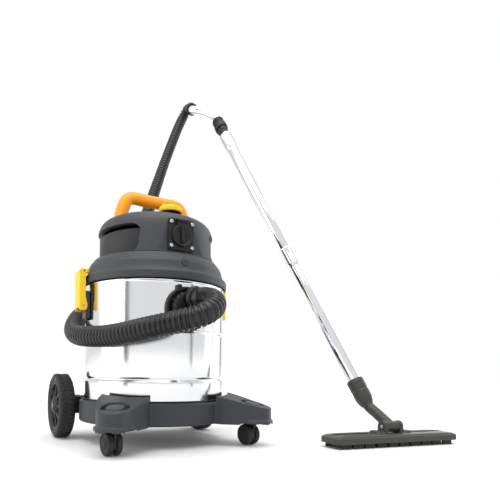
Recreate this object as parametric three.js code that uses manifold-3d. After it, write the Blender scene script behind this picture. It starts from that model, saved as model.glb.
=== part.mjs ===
// Wet and dry shop vacuum: steel drum on a wheeled base, lift-off power head,
// wrapped suction hose, two-piece chrome wand and floor nozzle.
// Millimetres, +Z up, front of the machine towards -Y.
import * as THREE from 'three';
import { mergeVertices } from 'three/addons/utils/BufferGeometryUtils.js';
import Module from 'manifold-3d';

const wasm = await Module();
wasm.setup();

// ---- driving dimensions ----
const GAP = 0.3;              // clearance between touching pieces
const DRUM_R = 145;           // drum outside radius
const DRUM_FOOT_R = 147.5;    // stepped lower part of the drum
const DRUM_WALL = 2.5;
const DRUM_BOTTOM = 58.3;
const DRUM_TOP = 319;
const GROOVES = [130, 222];   // heights of the two rolled grooves
const BASE_R = 157;           // wheeled base ring
const BASE_LOW = 43;
const BASE_TOP = 86;
const FOOT_X = 143;           // caster position, mirrored left and right
const FOOT_Y = -165;
const FOOT_LOW = 43;
const FOOT_TOP = 103;
const FOOT_TURN = 0.604;      // radians; each foot points outwards to the front
const WELL_TOP = 45;           // roof of the caster well
const CASTER_R = 21;
const CASTER_TRAIL = 14;
const CASTER_TURN = 0.096;    // radians; both casters trail to the back
const WHEEL_X = 156;          // inner face of the rear wheels
const WHEEL_Y = 111;
const WHEEL_R = 69;
const WHEEL_W = 34;
const RIM_R = 152;            // flange of the power head
const PLATE_LOW = 323;        // underside of the head plate
const PLATE_TOP = 331;
const SKIRT_TOP = 372;
const SKIRT_SLOPE = 0.21;     // lean of the skirt's front, radians
const HEAD_TOP = 462;
const DOME = [[128.5, 372.3], [126, 390], [123, 418], [121, 432], [117, 443], [108, 453.5],
  [92, 459.5], [60, 462]];       // outside of the head cover, [radius, height]
const PANEL_Y = -119;         // flat front panel with the socket
const HANDLE_TOP = 526;
const SOCKET_Z = 408;
const SCREWS = [[-22, SOCKET_Z + 23], [22, SOCKET_Z + 23], [-22, SOCKET_Z - 23], [22, SOCKET_Z - 23]];
const VENT_R = 116;           // floor of the sunk side panels
const HANDLE_Y = 12;
const LATCH_X = 158;          // latch pivot
const LATCH_Z = 272;
const INLET_Z = 262;
const KNOB_Y = -72;
const TUBE_R = 14.2;          // chrome wand tube
const TUBE_WALL = 1.5;
const FLARE_R = 16.6;
const HOSE_R = 20;            // hose at the machine end
const HOSE_TIP_R = 13.5;      // hose drawn narrower towards the wand
const WAND_FOOT = [398.7, -210.7, 99.9];
const WAND_TOP = [276.4, 165.8, 796.6];
const NOZZLE = [405, -280];   // middle of the floor nozzle
const NOZZLE_TURN = -10;      // degrees about +Z
const NOZZLE_L = 300;
const NOZZLE_D = 62;
const HOSE_PATH = [
  [13, -168, 281], [20, -188, 280], [19, -214, 272], [7, -238, 258],
  [-13, -250, 245], [-33, -246, 236], [-52, -231, 230], [-71, -212, 225],
  [-91, -190, 220], [-110, -161, 215], [-127, -129, 211], [-142, -94, 209],
  [-157, -56, 210], [-165.5, -15, 214], [-164.5, 28, 222], [-155, 74, 238],
  [-132, 125, 264], [-88, 166, 302], [-32, 196, 360], [22, 218, 435],
  [62, 238, 520], [92, 258, 600], [122, 278, 673], [150, 292, 744],
  [178, 304, 811], [203, 316, 868], [221, 322, 905], [229, 310, 925],
  [228, 288, 920], [223, 266, 905],
];

// ---- materials ----
const finish = (hex, roughness, metalness) =>
  () => new THREE.MeshStandardMaterial({ color: hex, roughness, metalness });
const greyPlastic = finish(0x55565a, 0.6, 0);
const darkPlastic = finish(0x232427, 0.55, 0);
const blackPlastic = finish(0x17181a, 0.45, 0);
const amberPlastic = finish(0xf5a51f, 0.4, 0);
const yellowPlastic = finish(0xf3cf2f, 0.4, 0);
const drumSteel = finish(0xc9cacc, 0.22, 1);
const chrome = finish(0xd8dadd, 0.08, 1);
const zincSteel = finish(0xb4b6ba, 0.35, 1);
const hoseEva = finish(0x1b1c1f, 0.5, 0);
const softRubber = finish(0x1c1c1c, 0.85, 0);
const brushHair = finish(0x151515, 0.9, 0);
const nozzlePlastic = finish(0x48463f, 0.5, 0);
const filterPaper = finish(0xe6e1d2, 0.9, 0);
const motorSteel = finish(0x8f9296, 0.4, 1);

const group = new THREE.Group();

function place(name, geometry, material) {
  const mesh = new THREE.Mesh(geometry, material());
  mesh.name = name;
  group.add(mesh);
  return mesh;
}

// ---- solid helpers ----
function solid(geometry) {
  const bare = new THREE.BufferGeometry();
  bare.setAttribute('position', geometry.getAttribute('position').clone());
  if (geometry.index) bare.setIndex(geometry.index.clone());
  const welded = mergeVertices(bare, 1e-4);
  return new wasm.Manifold(new wasm.Mesh({
    numProp: 3,
    vertProperties: Float32Array.from(welded.getAttribute('position').array),
    triVerts: Uint32Array.from(welded.index.array),
  }));
}

function toGeometry(manifold) {
  const mesh = manifold.getMesh();
  const geometry = new THREE.BufferGeometry();
  geometry.setAttribute('position', new THREE.BufferAttribute(mesh.vertProperties, 3));
  geometry.setIndex(new THREE.BufferAttribute(mesh.triVerts, 1));
  geometry.computeVertexNormals();
  return geometry;
}

function join(...items) {
  return toGeometry(items.map(solid).reduce((a, b) => a.add(b)));
}

function cut(body, ...tools) {
  return toGeometry(tools.map(solid).reduce((a, b) => a.subtract(b), solid(body)));
}

// Lathe about +Z. The profile is a list of [radius, height].
function turned(profile, segments = 24) {
  const points = profile.map(([r, z]) => new THREE.Vector2(r, z));
  const area = points.reduce((sum, p, i) => {
    const q = points[(i + 1) % points.length];
    return sum + p.x * q.y - q.x * p.y;
  }, 0);
  if (area < 0) points.reverse();
  if (points[0].x > 0) points.push(points[0].clone());
  const geometry = new THREE.LatheGeometry(points, segments);
  geometry.rotateX(Math.PI / 2);
  return toGeometry(solid(geometry));
}

const disc = (r, low, high, segments = 16) =>
  turned([[0, low], [r, low], [r, high], [0, high]], segments);
const ring = (inner, outer, low, high, segments = 24) =>
  turned([[inner, low], [outer, low], [outer, high], [inner, high]], segments);

function block(sx, sy, sz, x, y, z) {
  return new THREE.BoxGeometry(sx, sy, sz).translate(x, y, z);
}

function roundedShape(w, h, r) {
  const s = new THREE.Shape();
  s.moveTo(-w / 2 + r, -h / 2);
  s.lineTo(w / 2 - r, -h / 2);
  s.absarc(w / 2 - r, -h / 2 + r, r, -Math.PI / 2, 0);
  s.absarc(w / 2 - r, h / 2 - r, r, 0, Math.PI / 2);
  s.absarc(-w / 2 + r, h / 2 - r, r, Math.PI / 2, Math.PI);
  s.absarc(-w / 2 + r, -h / 2 + r, r, Math.PI, Math.PI * 1.5);
  return s;
}

function extruded(shape, depth, curveSegments = 3) {
  return new THREE.ExtrudeGeometry(shape, { depth, bevelEnabled: false, curveSegments });
}

// Rounded block standing on the XY plane.
function slab(w, d, h, r, x, y, low) {
  return extruded(roundedShape(w, d, r), h).translate(x, y, low);
}

// Rounded panel facing -Y, its front face at y.
function facePanel(w, h, thick, r, x, y, z) {
  return extruded(roundedShape(w, h, r), thick).rotateX(Math.PI / 2).translate(x, y + thick, z);
}

// Turn geometry made along +Z so that it points along a direction from a point.
function aim(geometry, from, direction) {
  const turn = new THREE.Quaternion().setFromUnitVectors(
    new THREE.Vector3(0, 0, 1), new THREE.Vector3(...direction).normalize());
  return geometry.applyQuaternion(turn).translate(...from);
}

// Rounded panel that runs out sideways from x 50 to x 170, between two depths and two heights.
function sidePanel(side, y0, y1, z0, z1, r) {
  return extruded(roundedShape(y1 - y0, z1 - z0, r), 120, 4).rotateX(Math.PI / 2)
    .rotateZ(side * Math.PI / 2).translate(side * 50, (y0 + y1) / 2, (z0 + z1) / 2);
}

function mirrored(geometry) {
  const flipped = toGeometry(solid(geometry).mirror([1, 0, 0]));
  return flipped;
}

// ---- wheeled base ----
function baseRing() {
  return turned([[0, 50], [146, 50], [146, BASE_LOW], [BASE_R, BASE_LOW], [BASE_R, BASE_TOP - 4],
    [BASE_R - 3, BASE_TOP], [DRUM_FOOT_R + GAP, BASE_TOP], [DRUM_FOOT_R + GAP, 58], [0, 58]], 32);
}

function footOutline(half, grow) {
  const s = new THREE.Shape();
  const right = half.map(([x, y], i) => [x + grow, i ? y - grow * 0.7 : y]);
  const left = right.map(([x, y]) => [-x, y]).reverse();
  [...right, ...left].forEach(([x, y], i) => (i ? s.lineTo(x, y) : s.moveTo(x, y)));
  return s;
}

// Foot with a sloping top, a lip round its lower edge and a cup with a peg over the caster.
function frontFoot() {
  const nose = [[33, 0], [25, -20], [18, -31], [9, -35]];
  const body = extruded(footOutline([[48, 86], [46, 45], ...nose], 0), FOOT_TOP - FOOT_LOW)
    .translate(0, 0, FOOT_LOW);
  const lip = extruded(footOutline(nose, 3.5), 9).translate(0, 0, FOOT_LOW);
  const slope = block(240, 260, 60, 0, 0, 30).rotateX(0.242).translate(0, 0, 84);
  const turn = (g) => g.rotateZ(FOOT_TURN).translate(FOOT_X, FOOT_Y, 0);
  const recess = turn(disc(25, 78, 130, 24).translate(0, 2, 0));
  const peg = turn(disc(16.5, 70, 88, 20).translate(0, 2, 0));
  const bore = disc(5.3, FOOT_LOW - 5, WELL_TOP + 20, 14).translate(FOOT_X, FOOT_Y, 0);
  const well = disc(37.5, FOOT_LOW - 5, WELL_TOP, 24).translate(FOOT_X, FOOT_Y, 0);
  const clearance = disc(BASE_R + GAP, 0, 200, 32);
  const skin = cut(turn(join(body, lip)), turn(slope), clearance, recess);
  return cut(join(skin, peg), bore, well);
}

function rearBracket() {
  const arm = slab(30, 62, 40, 8, WHEEL_X - 17, WHEEL_Y, 52);
  const tie = slab(40, 40, 40, 8, WHEEL_X - 34, WHEEL_Y - 22, 52);
  const clearance = disc(BASE_R + GAP, 0, 200, 32);
  const stub = disc(6, 0, WHEEL_W + 4, 14).rotateY(Math.PI / 2)
    .translate(WHEEL_X - 3, WHEEL_Y, WHEEL_R);
  return join(cut(join(arm, tie), clearance), stub);
}

function rearTyre() {
  const w = WHEEL_W;
  return turned([[52, 2], [62, 0], [67, 3], [WHEEL_R, 9], [WHEEL_R, w - 9], [67, w - 3],
    [62, w], [52, w - 2]], 24).rotateY(Math.PI / 2).translate(WHEEL_X, WHEEL_Y, WHEEL_R);
}

function rearHub() {
  const w = WHEEL_W;
  const body = turned([[6 + GAP, 1], [22, 1], [22, 10], [44, 12], [44, 3], [51.7, 3], [51.7, w - 3],
    [46, w - 3], [42, w - 12], [20, w - 10], [17, w], [10, w + 3], [6 + GAP, w + 3]], 24);
  return body.rotateY(Math.PI / 2).translate(WHEEL_X, WHEEL_Y, WHEEL_R);
}

function casterFork() {
  const stem = disc(5, 42.5, WELL_TOP + 17, 14);
  const cap = turned([[0, 42.3], [15, 42.3], [17, 43], [17, WELL_TOP - GAP], [0, WELL_TOP - GAP]], 16);
  const web = block(5, 26, 32, 0, CASTER_TRAIL / 2 + 2, 28);
  const hood = extruded(hoodShape(), 5).rotateY(Math.PI / 2).rotateX(Math.PI / 2)
    .translate(-2.5, CASTER_TRAIL, CASTER_R);
  const pin = disc(3, -15, 15, 12).rotateY(Math.PI / 2).translate(0, CASTER_TRAIL, CASTER_R);
  return join(stem, cap, web, hood, pin);
}

function hoodShape() {
  const s = new THREE.Shape();
  s.absarc(0, 0, 12, 0, Math.PI * 2);
  return s;
}

function casterWheel(side) {
  return turned([[3 + GAP, 0], [14, 0], [CASTER_R, 2], [CASTER_R, 9.5], [18, 11.5], [10, 11.5],
    [8, 10], [3 + GAP, 10]], 18).rotateY(side * Math.PI / 2)
    .translate(side * 2.9, CASTER_TRAIL, CASTER_R);
}

// ---- drum ----
function drum() {
  const outer = [[0, DRUM_BOTTOM], [DRUM_FOOT_R - 3, DRUM_BOTTOM], [DRUM_FOOT_R, DRUM_BOTTOM + 3],
    [DRUM_FOOT_R, GROOVES[0] - 6], [DRUM_R - 1.6, GROOVES[0] - 1], [DRUM_R, GROOVES[0] + 4],
    [DRUM_R, GROOVES[1] - 4], [DRUM_R - 2, GROOVES[1]], [DRUM_R, GROOVES[1] + 4],
    [DRUM_R, DRUM_TOP - 5], [DRUM_R + 1.5, DRUM_TOP - 3], [DRUM_R + 1, DRUM_TOP]];
  const r = DRUM_R - DRUM_WALL - 2;
  const inner = [[r, DRUM_TOP], [r, DRUM_BOTTOM + DRUM_WALL], [0, DRUM_BOTTOM + DRUM_WALL]];
  const shell = turned([...outer, ...inner], 32);
  const hole = disc(27.3, 0, 60, 24).rotateX(Math.PI / 2).translate(0, -110, INLET_Z);
  return cut(shell, hole);
}

function inletFlange() {
  const plate = turned([[23.7, -6], [23.7, -38], [27, -38], [27, 6], [41, 6], [43, 2], [43, -6]]
    .map(([r, z]) => [r, z]), 24);
  plate.rotateX(Math.PI / 2).translate(0, -DRUM_R, INLET_Z);
  const lug = facePanel(9, 14, 8, 2, -17, -DRUM_R - 9, INLET_Z + 38);
  return cut(join(plate, lug), disc(DRUM_R + 2.4, 200, 318, 32));
}

// ---- power head ----
function headBase() {
  const body = turned([[45, PLATE_LOW], [147.3, PLATE_LOW], [147.3, 319.6], [RIM_R, 318.5],
    [RIM_R, 333], [RIM_R - 2, 335.5], [145, 337], [141, 354], [131, 368], [129, SKIRT_TOP],
    [124, SKIRT_TOP], [124, 362], [134, 345], [134, PLATE_TOP], [45, PLATE_TOP]], 32);
  return cut(body, frontPlug(7.3, -6, 20));
}

// Short cylinder square to the sloping front of the skirt.
function frontPlug(r, from, to) {
  return disc(r, from, to, 16).rotateX(Math.PI / 2 - SKIRT_SLOPE).translate(0, -131.4, 348.8);
}

function headCover() {
  const outer = turned([[0, SKIRT_TOP + GAP], ...DOME, [0, HEAD_TOP]], 32);
  const inner = turned([[0, 300], [109, 300], [109, 434], [100, 448], [60, 455], [0, 455]], 32);
  const flat = block(300, 60, 200, 0, PANEL_Y - 30, 450);
  const sunk = [];
  for (const side of [-1, 1]) {
    const window = sidePanel(side, -98, 82, 366, 428, 18);
    sunk.push(toGeometry(solid(ring(VENT_R, 140, 372, 428, 32)).intersect(solid(window))));
    const gate = block(120, 168, 30, side * 128, -9, 423.5);
    sunk.push(toGeometry(solid(ring(107, 118, 419, 428, 32)).intersect(solid(gate))));
  }
  const shaft = disc(10.5, 440, 480, 14).translate(0, KNOB_Y, 0);
  const socketHole = facePanel(40, 44, 30, 5, 0, PANEL_Y - 5, SOCKET_Z);
  const holes = SCREWS.map(([x, z]) =>
    disc(2.6, 0, 12, 14).rotateX(Math.PI / 2).translate(x, PANEL_Y + 8, z));
  const gland = disc(8.3, 0, 40, 14).rotateX(-Math.PI / 2).translate(0, 100, 395);
  return cut(outer, inner, flat, shaft, socketHole, gland, ...holes, ...sunk);
}

function ventPanel() {
  const skin = solid(ring(VENT_R + GAP, VENT_R + 2.3, SKIRT_TOP + 1, 417, 32))
    .intersect(solid(sidePanel(1, -95, 79, 362, 440, 18)));
  return toGeometry(skin);
}

// Rounded carrying handle: one bar swept over from side to side and let into the cover.
function handle() {
  const bar = HANDLE_TOP - 13.5;
  const half = [[80, 440], [76, 468], [71, 488], [62, bar - 6], [50, bar], [26, bar]];
  const path = [...half.map(([x, z]) => [-x, z]), ...half.map(([x, z]) => [x, z]).reverse()]
    .map(([x, z]) => new THREE.Vector3(x, HANDLE_Y, z));
  const outline = new THREE.Shape();
  outline.absellipse(0, 0, 13.5, 13, 0, Math.PI * 2);
  const sweep = new THREE.ExtrudeGeometry(outline, { steps: 36, bevelEnabled: false,
    extrudePath: new THREE.CatmullRomCurve3(path, false, 'centripetal'), curveSegments: 5 });
  const dome = DOME.map(([r, z]) => [r + GAP, z + GAP]);
  return cut(toGeometry(solid(sweep)),
    turned([[0, 300], [130, 300], ...dome, [0, HEAD_TOP + GAP]], 32));
}

function switchKnob() {
  const cap = turned([[0, 467], [9.5, 467], [9.5, 465], [24, 465], [24, 473], [21, 476.5],
    [0, 476.5]], 20);
  const grip = block(34, 7, 5, 0, 0, 478);
  const stem = disc(6, 444, 468, 12);
  return join(cap, grip, stem).translate(0, KNOB_Y, 0);
}

function knobCollar() {
  return turned([[6.5, 448], [10, 448], [10, 462.5], [22, 462.5], [22, 464.6], [9, 464.6],
    [9, 466.6], [6.5, 466.6]], 18).translate(0, KNOB_Y, 0);
}

function socketPlate() {
  const plate = facePanel(55, 61, 5, 3, 0, PANEL_Y - 5.3, SOCKET_Z);
  const well = facePanel(38, 42, 24, 4, 0, PANEL_Y - 2, SOCKET_Z);
  const bore = disc(17, 0, 30, 18).rotateX(Math.PI / 2).translate(0, PANEL_Y + 17, SOCKET_Z - 2);
  const screws = SCREWS.map(([x, z]) =>
    disc(2.6, 0, 12, 14).rotateX(Math.PI / 2).translate(x, PANEL_Y + 4, z));
  return cut(join(plate, well), bore, ...screws);
}

function socketFlap() {
  const y = PANEL_Y - 5.6;
  const lid = disc(21, 0, 4, 20).rotateX(Math.PI / 2).translate(0, y, SOCKET_Z - 2);
  const arm = block(24, 4, 14, 0, y - 2, SOCKET_Z + 18.6);
  const barrel = disc(3.4, -12, 12, 14).rotateY(Math.PI / 2).translate(0, y - 3.6, SOCKET_Z + 26);
  const rib = block(7, 2.5, 32, 0, y - 5, SOCKET_Z);
  return join(lid, arm, barrel, rib);
}

function socketScrew(x, z) {
  return turned([[0, 0], [2.3, 0], [2.3, 8.6], [3.8, 8.6], [3.8, 9.8], [3, 10.8], [0, 10.8]], 14)
    .rotateX(Math.PI / 2).translate(x, PANEL_Y + 3, z);
}

function knockOut() {
  return turned([[0, 0], [7, 0], [7, 10], [6.2, 10.9], [3, 10.9], [3, 9.8], [0, 9.8]], 14)
    .rotateX(Math.PI / 2 - SKIRT_SLOPE).translate(0, -131.4, 348.8);
}

function cordGland() {
  return turned([[3.5, -8], [8, -8], [8, 13.5], [11.5, 14], [11.5, 19], [8, 24], [6, 34],
    [3.5, 34]], 14).rotateX(-Math.PI / 2).translate(0, 114, 395);
}

// ---- latches ----
function latchBracket() {
  const pad = slab(8.5, 26, 58, 3, LATCH_X - 8, 0, 246);
  const ears = [-11, 11].map((y) => join(block(9, 3.5, 11, LATCH_X - 3.5, y, LATCH_Z),
    disc(5.5, -1.75, 1.75, 16).rotateX(Math.PI / 2).translate(LATCH_X + 1, y, LATCH_Z)));
  const bore = disc(2.5, -30, 30, 14).rotateX(Math.PI / 2).translate(LATCH_X + 1, 0, LATCH_Z);
  return cut(join(pad, ...ears), disc(DRUM_R + GAP, 100, 400, 32), bore);
}

// Channel-section lever: an outer face, two side flanges with ears and a hook over the rim.
function latch() {
  const px = LATCH_X + 1;
  const side = new THREE.Shape();
  side.moveTo(px + 3, LATCH_Z - 8.5); side.lineTo(px + 9, LATCH_Z - 6); side.lineTo(px + 9, 340);
  side.lineTo(px + 6.5, 345.5); side.lineTo(px - 10.3, 345.5); side.lineTo(px - 9.4, 338.6);
  side.lineTo(px - 5.5, 338.2); side.lineTo(px - 4, 332); side.lineTo(px - 4, LATCH_Z + 18);
  side.lineTo(px - 7, LATCH_Z + 4); side.lineTo(px - 6.8, LATCH_Z - 4);
  side.lineTo(px - 3, LATCH_Z - 8.5);
  const lever = extruded(side, 34).rotateX(Math.PI / 2).translate(0, 17, 0);
  const hollow = block(24, 28, 120, px + 6 - 12, 0, 335 - 60);
  const open = block(40, 28, 30, px, 0, LATCH_Z + 3 - 15);
  const bore = disc(2.5, -30, 30, 14).rotateX(Math.PI / 2).translate(px, 0, LATCH_Z);
  return cut(lever, hollow, open, bore);
}

function latchPin() {
  return disc(2.2, -17.5, 17.5, 14).rotateX(Math.PI / 2).translate(LATCH_X + 1, 0, LATCH_Z);
}

// ---- inside the head ----
function motor() {
  return turned([[0, 440], [30, 440], [46, 432], [50, 424], [50, 354], [66, 351], [66, PLATE_TOP + GAP],
    [62, PLATE_TOP + GAP], [62, 347.5], [6, 347.5], [6, 412], [0, 412]], 20);
}

function impeller() {
  return turned([[0, 333], [14, 333], [57, 334], [57, 344], [20, 346], [5, 346.5], [5, 408],
    [0, 408]], 18);
}

function floatCage() {
  const body = turned([[0, 261], [24, 261], [24, 317.7], [46, 317.7], [46, PLATE_LOW - GAP],
    [14, PLATE_LOW - GAP], [14, 320], [21, 318], [21, 264.5], [0, 264.5]], 16);
  const windows = [0, 1, 2, 3].map((i) =>
    block(60, 13, 40, 30, 0, 291).rotateZ(Math.PI / 4 + i * Math.PI / 2));
  return cut(body, ...windows);
}

function floatBall() {
  return toGeometry(solid(new THREE.SphereGeometry(17, 14, 10).translate(0, 0, 282.2)));
}

function filter() {
  return turned([[0, 198], [70, 198], [74, 202], [74, 320], [74, PLATE_LOW - GAP],
    [48, PLATE_LOW - GAP], [48, 205], [0, 205]], 24);
}

// ---- hose and wand ----
const along = (t) => WAND_FOOT.map((v, i) => v + (WAND_TOP[i] - v) * t);
const wandVector = WAND_TOP.map((v, i) => v - WAND_FOOT[i]);
const wandLength = Math.hypot(...wandVector);
const half = wandLength / 2;

const hoseCurve = new THREE.CatmullRomCurve3(HOSE_PATH.map((p) => new THREE.Vector3(...p)),
  false, 'centripetal');
const hoseStart = hoseCurve.getPointAt(0);
const hoseStartWay = hoseCurve.getTangentAt(0);
const hoseEnd = hoseCurve.getPointAt(1);
const hoseEndWay = hoseCurve.getTangentAt(1);

// Tube along a hand-laid route, drawn narrower from one end to the other.
function hose() {
  const curve = hoseCurve;
  const circle = new THREE.Shape();
  circle.absarc(0, 0, HOSE_R, 0, Math.PI * 2);
  const steps = 64;
  const geometry = new THREE.ExtrudeGeometry(circle,
    { steps, bevelEnabled: false, extrudePath: curve, curveSegments: 5 });
  const middles = curve.getSpacedPoints(steps);
  const position = geometry.getAttribute('position');
  const v = new THREE.Vector3();
  for (let i = 0; i < position.count; i++) {
    v.fromBufferAttribute(position, i);
    let best = 0;
    let far = Infinity;
    middles.forEach((m, k) => {
      const d = Math.abs(m.distanceTo(v) - HOSE_R);
      if (d < far) { far = d; best = k; }
    });
    const t = THREE.MathUtils.smoothstep(best / steps, 0.5, 0.86);
    const scale = THREE.MathUtils.lerp(1, HOSE_TIP_R / HOSE_R, t);
    v.sub(middles[best]).multiplyScalar(scale).add(middles[best]);
    position.setXYZ(i, v.x, v.y, v.z);
  }
  return toGeometry(solid(geometry));
}

// Wand tube with a flared upper end that takes the next piece.
function tube(from, length) {
  const inner = TUBE_R - TUBE_WALL;
  return aim(turned([[inner, 0], [TUBE_R, 0], [TUBE_R, length - 54], [FLARE_R, length - 47],
    [FLARE_R, length], [TUBE_R + GAP, length], [TUBE_R + GAP, length - 46],
    [inner, length - 53]], 18), from, wandVector);
}

const up = new THREE.Vector3(...wandVector).normalize();
const side = new THREE.Vector3(0.79, -0.49, 0);
side.addScaledVector(up, -side.dot(up)).normalize();
const onWand = (t, extra = 0) => along(t).map((v, i) => v + up.getComponent(i) * extra);

// Cylinder across the wand wall, on the side of the spring button.
function crossPin(t, extra, radius, from, to) {
  const base = onWand(t, extra).map((v, i) => v + side.getComponent(i) * from);
  return aim(disc(radius, 0, to - from, 14), base, side.toArray());
}

const tubeLower = () => cut(tube(WAND_FOOT, half), crossPin(0.5, -14, 3.3, 11, 20));
const tubeUpper = () => cut(tube(onWand(0.5, -40), half + 40),
  crossPin(0.5, -14, 3.3, 11, 20), crossPin(1, -14, 3.3, 11, 20));

function connector() {
  const body = aim(turned([[11.6, -34], [14.2, -34], [14.2, 0.4], [12.8, 2], [12.8, 12], [15.2, 18],
    [15.2, 60], [13.5, 64], [11.6, 64]], 18), onWand(1), wandVector);
  return cut(body, crossPin(1, -14, 3.3, 9, 20));
}

const airSlide = () => aim(ring(15.5, 17.4, 26, 42, 18), onWand(1), wandVector);

function bentTube() {
  const out = hoseEndWay;
  const end = hoseEnd.clone().addScaledVector(out, 0.4);
  const points = [6, 24, 44, 64, 76].map((d) => new THREE.Vector3(...onWand(1, d)));
  const near = end.clone().addScaledVector(out, 14);
  points.push(points[4].clone().lerp(near, 0.45).addScaledVector(up, 7), near, end);
  const curve = new THREE.CatmullRomCurve3(points, false, 'centripetal');
  const outline = new THREE.Shape();
  outline.absarc(0, 0, 11.2, 0, Math.PI * 2);
  return toGeometry(solid(new THREE.ExtrudeGeometry(outline,
    { steps: 18, bevelEnabled: false, extrudePath: curve, curveSegments: 5 })));
}

// Cuff that grips the last of the hose and the end of the bent tube.
function hoseCuff() {
  const end = hoseEnd;
  const out = hoseEndWay;
  return aim(ring(HOSE_TIP_R + 1.1, HOSE_TIP_R + 3.2, -14, 3, 18), end.toArray(), out.toArray());
}

const springButton = (t) => crossPin(t, -14, 2.9, 9.5, 19);

function inletElbow() {
  const out = hoseStartWay;
  const end = hoseStart.clone().addScaledVector(out, -0.5).toArray();
  const pipe = disc(20.5, 112, 156, 20).rotateX(Math.PI / 2).translate(0, 0, INLET_Z);
  const cuff = aim(turned([[0, 0], [21, 0], [23.5, 3], [23.5, 8], [0, 8]], 20)
    .rotateX(Math.PI), end, out.toArray());
  const collar = turned([[0, 151.5], [31, 151.5], [33, 154], [33, 158], [30, 160.5], [0, 160.5]], 20)
    .rotateX(Math.PI / 2).translate(0, 0, INLET_Z);
  const grip = facePanel(13, 20, 8.5, 3, -24, -160.4, INLET_Z + 17);
  return join(pipe, collar, cuff, grip);
}

// ---- floor nozzle ----
const inNozzle = (g) => g.rotateZ(NOZZLE_TURN * Math.PI / 180).translate(NOZZLE[0], NOZZLE[1], 0);

function nozzleBody() {
  const base = slab(NOZZLE_L, NOZZLE_D, 12, 10, 0, 0, 9);
  const top = slab(NOZZLE_L - 6, NOZZLE_D - 6, 4.5, 8, 0, 0, 20.5);
  const cheeks = [-1, 1].map((k) => join(
    disc(12, -4, 4, 14).rotateY(Math.PI / 2).translate(k * 18.6, 0, 38),
    block(8, 24, 16, k * 18.6, 0, 30)));
  const mouth = slab(236, 22, 8, 8, 0, 0, 4);
  const grooveA = block(278, 6.6, 6, 0, -NOZZLE_D / 2 + 8, 9);
  const grooveB = block(278, 6.6, 6, 0, NOZZLE_D / 2 - 8, 9);
  const slots = [-1, 1].map((k) => slab(96, 14, 10, 6, k * 80, 4, 22.6));
  const bore = disc(3.8, -40, 40, 12).rotateY(Math.PI / 2).translate(0, 0, 38);
  return inNozzle(cut(join(base, top, ...cheeks), mouth, grooveA, grooveB, ...slots, bore));
}

function nozzleBrush(k, notches) {
  const strip = block(276, 6, 11.7, 0, k * (NOZZLE_D / 2 - 8), 5.85);
  const gaps = [];
  for (let i = 0; i < notches; i++) {
    gaps.push(block(4, 20, 7, (i - (notches - 1) / 2) * 27.5, k * (NOZZLE_D / 2 - 8), 3));
  }
  return inNozzle(gaps.length ? cut(strip, ...gaps) : cut(strip, block(1, 1, 1, 0, 0, 90)));
}

function nozzleNeck() {
  const pivot = new THREE.Vector3(0, 0, 38)
    .applyAxisAngle(new THREE.Vector3(0, 0, 1), NOZZLE_TURN * Math.PI / 180)
    .add(new THREE.Vector3(NOZZLE[0], NOZZLE[1], 0));
  const low = new THREE.Vector3(...onWand(0, -24));
  const barrel = inNozzle(disc(11.5, -14.2, 14.2, 16).rotateY(Math.PI / 2).translate(0, 0, 38));
  const curve = new THREE.CatmullRomCurve3([pivot, pivot.clone().lerp(low, 0.5),
    low, new THREE.Vector3(...onWand(0, -4))], false, 'centripetal');
  const outline = new THREE.Shape();
  outline.absarc(0, 0, 11.4, 0, Math.PI * 2);
  const arm = new THREE.ExtrudeGeometry(outline,
    { steps: 8, bevelEnabled: false, extrudePath: curve, curveSegments: 4 });
  const socket = aim(turned([[0, -26], [13, -26], [18.6, -8], [18.6, 34], [17.4, 36], [0, 36]], 18),
    onWand(0), wandVector);
  const bore = aim(disc(TUBE_R + GAP, -GAP, 60, 18), onWand(0), wandVector);
  const pin = inNozzle(disc(3.8, -40, 40, 12).rotateY(Math.PI / 2).translate(0, 0, 38));
  return cut(join(barrel, arm, socket), bore, pin);
}

const neckPin = () => inNozzle(disc(3.5, -23, 23, 12).rotateY(Math.PI / 2).translate(0, 0, 38));

// ---- assembly ----
place('base_ring', baseRing(), greyPlastic);
place('foot_right', frontFoot(), greyPlastic);
place('foot_left', mirrored(frontFoot()), greyPlastic);
place('bracket_right', rearBracket(), darkPlastic);
place('bracket_left', mirrored(rearBracket()), darkPlastic);
place('tyre_right', rearTyre(), softRubber);
place('tyre_left', mirrored(rearTyre()), softRubber);
place('hub_right', rearHub(), darkPlastic);
place('hub_left', mirrored(rearHub()), darkPlastic);
for (const [name, x] of [['left', -FOOT_X], ['right', FOOT_X]]) {
  place(`caster_fork_${name}`, casterFork().rotateZ(CASTER_TURN).translate(x, FOOT_Y, 0), blackPlastic);
  place(`caster_wheel_${name}_a`, casterWheel(-1).rotateZ(CASTER_TURN).translate(x, FOOT_Y, 0), softRubber);
  place(`caster_wheel_${name}_b`, casterWheel(1).rotateZ(CASTER_TURN).translate(x, FOOT_Y, 0), softRubber);
}
place('drum', drum(), drumSteel);
place('inlet_flange', inletFlange(), blackPlastic);
place('inlet_elbow', inletElbow(), blackPlastic);
place('latch_bracket_right', latchBracket(), greyPlastic);
place('latch_bracket_left', mirrored(latchBracket()), greyPlastic);
place('latch_right', latch(), yellowPlastic);
place('latch_left', mirrored(latch()), yellowPlastic);
place('latch_pin_right', latchPin(), zincSteel);
place('latch_pin_left', mirrored(latchPin()), zincSteel);
place('head_gasket', ring(137, 146, DRUM_TOP + GAP, PLATE_LOW - GAP, 32), softRubber);
place('head_base', headBase(), greyPlastic);
place('head_cover', headCover(), greyPlastic);
place('vent_panel_right', ventPanel(), darkPlastic);
place('vent_panel_left', mirrored(ventPanel()), darkPlastic);
place('handle', handle(), amberPlastic);
place('knob_collar', knobCollar(), blackPlastic);
place('switch_knob', switchKnob(), yellowPlastic);
place('socket_plate', socketPlate(), blackPlastic);
place('socket_flap', socketFlap(), blackPlastic);
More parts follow.
